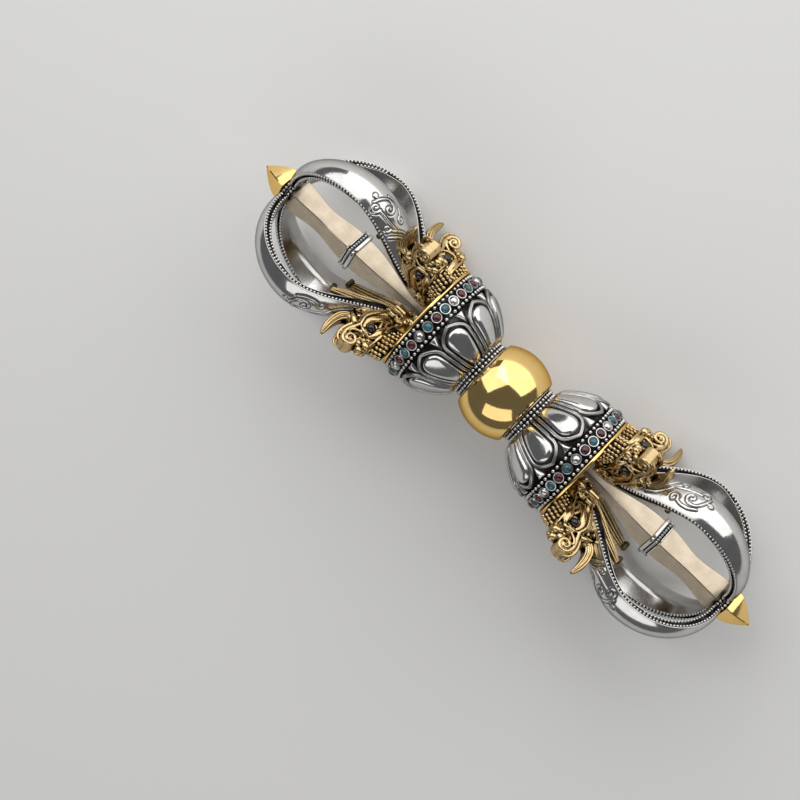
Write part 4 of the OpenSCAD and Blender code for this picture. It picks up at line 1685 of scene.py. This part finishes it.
@dataclass
class Prong:
    """The square bar in the middle of a cage, with its collar."""

    end: End
    beads: BeadRows
    plate: float = PLATE_FACE
    root: float = 2.4
    seat: float = 8.1
    waist: float = 6.4
    swell: tuple[float, float] = (6.0, 28.9)
    waist_run: tuple[float, float] = (33.0, 56.5)
    collar_start: float = 29.26
    collar_length: float = 3.4
    collar_side: float = 10.4
    bead: float = 1.05
    bead_count: int = 32
    finish_at: float = 57.5
    stud_radius: float = 1.5
    stud_length: float = 8.5

    def side(self, s: float) -> float:
        """Side of the bar.

        Args:
            s: distance from the plate.

        Returns:
            The bar's side there.
        """
        start, full = self.swell
        if s <= full:
            share = min(1.0, max(0.0, (s - start) / (full - start)))
            return self.root + (self.seat - self.root) * math.sin(share * math.pi / 2) ** 1.4
        start, last = self.waist_run
        share = min(1.0, max(0.0, (s - start) / (last - start)))
        return self.seat - (self.seat - self.waist) * math.sin(share * math.pi) ** 2

    def bar(self) -> Form:
        """The bar with the stud that carries the ring and the point.

        Returns:
            The bar on the right end.
        """
        full, tip = self.swell[1], self.plate + self.finish_at
        along = (*np.linspace(0.0, full, 40), *np.linspace(29.3, self.waist_run[1], 50))
        stations = [(self.plate + s, self.side(s) / 2) for s in along]
        stations.append((tip, self.seat * 0.4))
        bar = square_loft(stations, 0.22).turned(45.0)
        run = bar.points[:, 0] - self.plate
        # Painted shade: the bar is darker toward the plate, between the heads, and at its end under the ring.
        bar.recess[:] = np.interp(run, (4.0, 16.0, 55.0, self.finish_at), (0.7, 0.0, 0.0, 0.5))
        last = tip + self.stud_length
        run = np.array((tip - 0.3, tip, last - 0.3, last))
        radii = self.stud_radius - np.array((0.0, 0.0, 0.0, 0.3))
        stud = strand(np.column_stack((run, 0 * run, 0 * run)), radii, 32)
        # Painted shade: the stud under the ring is a little darker.
        stud.recess[:] = 0.15
        return bar.joined(stud)

    def build(self) -> None:
        """Makes the bar, the collar and the collar's beads."""
        fit(self.end, "prong", "bar", self.bar(), [WARM_SILVER], Slot.AGED_SILVER, 30.0)
        a, half = self.plate + self.collar_start, self.collar_side / 2
        core = square_loft([(a, half - 0.8), (a + self.collar_length, half - 0.8)], 0.3)
        # Painted shade: the core under the beads is set fully dark.
        core.recess[:] = 1.0
        lip = [(0.0, 0.5), (0.1, 0.2), (0.35, 0.05), (0.7, 0.0), (1.05, 0.05), (1.25, 0.2), (1.3, 0.6)]
        wire = [(2.8, 0.7), (2.84, 0.4), (2.96, 0.24), (3.1, 0.2), (3.24, 0.24), (3.36, 0.4), (3.4, 0.7)]
        edges = [square_loft([(a + x, half - low) for x, low in rim], 0.35) for rim in (lip, wire)]
        for edge in edges:
            edge.finish[:] = 1
        collar = core.joined(*edges).turned(45.0)
        fit(self.end, "prong_collar", "band", collar, [DARK_SILVER, SILVER], Slot.OXIDISED_SILVER, 50.0)
        reach = half - 0.5
        corners = [(-reach, reach), (reach, reach), (reach, -reach), (-reach, -reach)]
        sides = [np.linspace(p, q, 12, endpoint=False) for p, q in zip(corners, corners[1:] + corners[:1])]
        square = np.concatenate(sides)
        line = turn_about_axis(np.column_stack((np.full(len(square), a + 2.05), square)), 45.0)
        pitch = even_pitch(8 * reach, self.bead_count)
        self.beads.fit(self.end, "prong_collar", [line], True, pitch, self.bead, Slot.OXIDISED_SILVER)


@dataclass
class Tip:
    """The beaded ring and the four-sided point at an end."""

    end: End
    beads: BeadRows
    ring_start: float = 92.3
    ring_length: float = 3.3
    ring_radius: float = 4.3
    ring_bore: float = 1.6
    ring_core: float = 3.4
    bead: float = 1.2
    bead_count: int = 17
    point_start: float = 95.7
    point_length: float = 9.3
    point_half: float = 4.15
    point_swell: float = 1.65
    bore: tuple[float, float] = (1.58, 5.3)

    def build(self) -> None:
        """Makes the ring, its beads and the point."""
        a, b = self.ring_start, self.ring_start + self.ring_length
        body, bore, wall = self.end.piece("ring"), self.ring_bore, self.ring_core
        # Painted shade: the core under the beads is set fully dark.
        core = lathe([(a, bore), (a, wall), (b, wall), (b, bore)], 64, 1.0)
        ring = core.joined(wire_ring((a + b) / 2, wall + 0.3, 64))
        fit(self.end, "tip_ring", "core", ring, [SILVER], Slot.POLISHED_SILVER, body=body)
        r = self.ring_radius - self.bead / 2
        lines = [around(x, r, 96) for x in (a + 0.55 * self.bead, b - 0.55 * self.bead)]
        pitch = even_pitch(2 * math.pi * r, self.bead_count)
        self.beads.fit(self.end, "tip_ring", lines, True, pitch, self.bead, body=body)
        start, length = self.point_start + 0.12, self.point_length - 0.12
        stations = [(self.point_start + 0.02, self.point_half - 0.14)]
        for t in np.linspace(0.0, 1.0, 40):
            stations.append((start + length * t, self.point_half * (1.0 - 0.96 * t**self.point_swell)))
        point = square_loft(stations, 0.3, 0.02, bore=self.bore).turned(45.0)
        fit(self.end, "finial", "point", point, [GOLD], Slot.POLISHED_GOLD, 34.0, self.end.piece("point"))


@dataclass
class Studio:
    """The floor, the light and the camera."""

    lens: float = 85.0
    distance: float = 0.5957
    lean: float = 13.0
    tilt: float = 4.0
    aim: tuple[float, float] = (-0.03310, -0.00230)
    roll: tuple[float, float] = (0.722, 0.692)
    floor_half: float = 12.0

    def axes(self) -> tuple[Vector, Vector, Vector]:
        """Right, up and toward the camera.

        Returns:
            The three directions of the picture in the scene.
        """
        lean, tilt = math.radians(self.lean), math.radians(self.tilt)
        back = Vector((math.sin(tilt), math.cos(tilt) * math.sin(lean), math.cos(tilt) * math.cos(lean)))
        over = back.cross(Vector((1.0, 0.0, 0.0))).normalized()
        along = over.cross(back)
        c, s = self.roll
        return c * along + s * over, -s * along + c * over, back

    def build(self, low: float) -> None:
        """Sets up the studio.

        Args:
            low: height of the floor.
        """
        floor = bpy.data.meshes.new("floor")
        half = self.floor_half
        corners = [(-half, -half, low), (half, -half, low), (half, half, low), (-half, half, low)]
        floor.from_pydata(corners, [], [(0, 1, 2, 3)])
        floor.materials.append(FLOOR.material())
        ground = bpy.data.objects.new("floor", floor)
        bpy.context.scene.collection.objects.link(ground)
        ground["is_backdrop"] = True
        world = bpy.data.worlds.new("room")
        world.use_nodes = True
        world.node_tree.nodes["Background"].inputs["Color"].default_value = (0.12, 0.123, 0.13, 1.0)
        bpy.context.scene.world = world
        right, up, back = self.axes()
        c, s = self.roll
        along, over = c * right - s * up, s * right + c * up
        self.softbox("key", 0.62 * back + 0.78 * over - 0.12 * along, 0.9, (1.7, 1.2), 1.4)
        self.softbox("left", 0.72 * back - 0.72 * along + 0.12 * over, 0.9, (1.0, 0.9), 1.3)
        self.softbox("low", 0.5 * back - 0.75 * over + 0.3 * along, 1.0, (1.2, 0.6), 1.0)
        view = bpy.data.cameras.new("camera")
        view.lens = self.lens
        view.clip_start = 0.01
        camera = bpy.data.objects.new("camera", view)
        bpy.context.scene.collection.objects.link(camera)
        turn = Matrix((right, up, back)).transposed()
        spot = self.aim[0] * right + self.aim[1] * up + self.distance * back
        camera.matrix_world = Matrix.Translation(spot) @ turn.to_4x4()
        bpy.context.scene.camera = camera
        bpy.context.scene.view_settings.view_transform = "Standard"

    def softbox(self, name: str, way: Vector, far: float, size: tuple[float, float], level: float) -> None:
        """A soft light that faces the object.

        Args:
            name: its name.
            way: direction from the object.
            far: distance from the object.
            size: width and height.
            level: brightness of its face.
        """
        light = bpy.data.lights.new(name, "AREA")
        light.shape = "RECTANGLE"
        light.size, light.size_y = size
        light.energy = level * math.pi * size[0] * size[1]
        lamp = bpy.data.objects.new(name, light)
        bpy.context.scene.collection.objects.link(lamp)
        lamp.location = way.normalized() * far
        lamp.rotation_euler = way.to_track_quat("Z", "Y").to_euler()


def main() -> None:
    """Builds every piece, end by end, and then the studio."""
    logging.basicConfig(level=logging.INFO, format="%(message)s")
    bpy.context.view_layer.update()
    beads = BeadRows()
    Hub().build()
    head = MakaraHead()
    for end, turn, petal_turn in ((End.RIGHT, 11.25, 30.0), (End.LEFT, 5.625, 19.0)):
        NeckCollar(end, beads).build()
        LotusCup(end, petal_turn).build()
        GemBand(end, beads, turn).build()
        RimPlate(end).build()
        for number in (1, 2, 3, 4):
            head.build(end, number)
            Rib(end, number, beads).build()
        Prong(end, beads).build()
        Tip(end, beads).build()
    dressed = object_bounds()
    Studio().build(dressed[0][2])


if __name__ == "__main__":
    main()
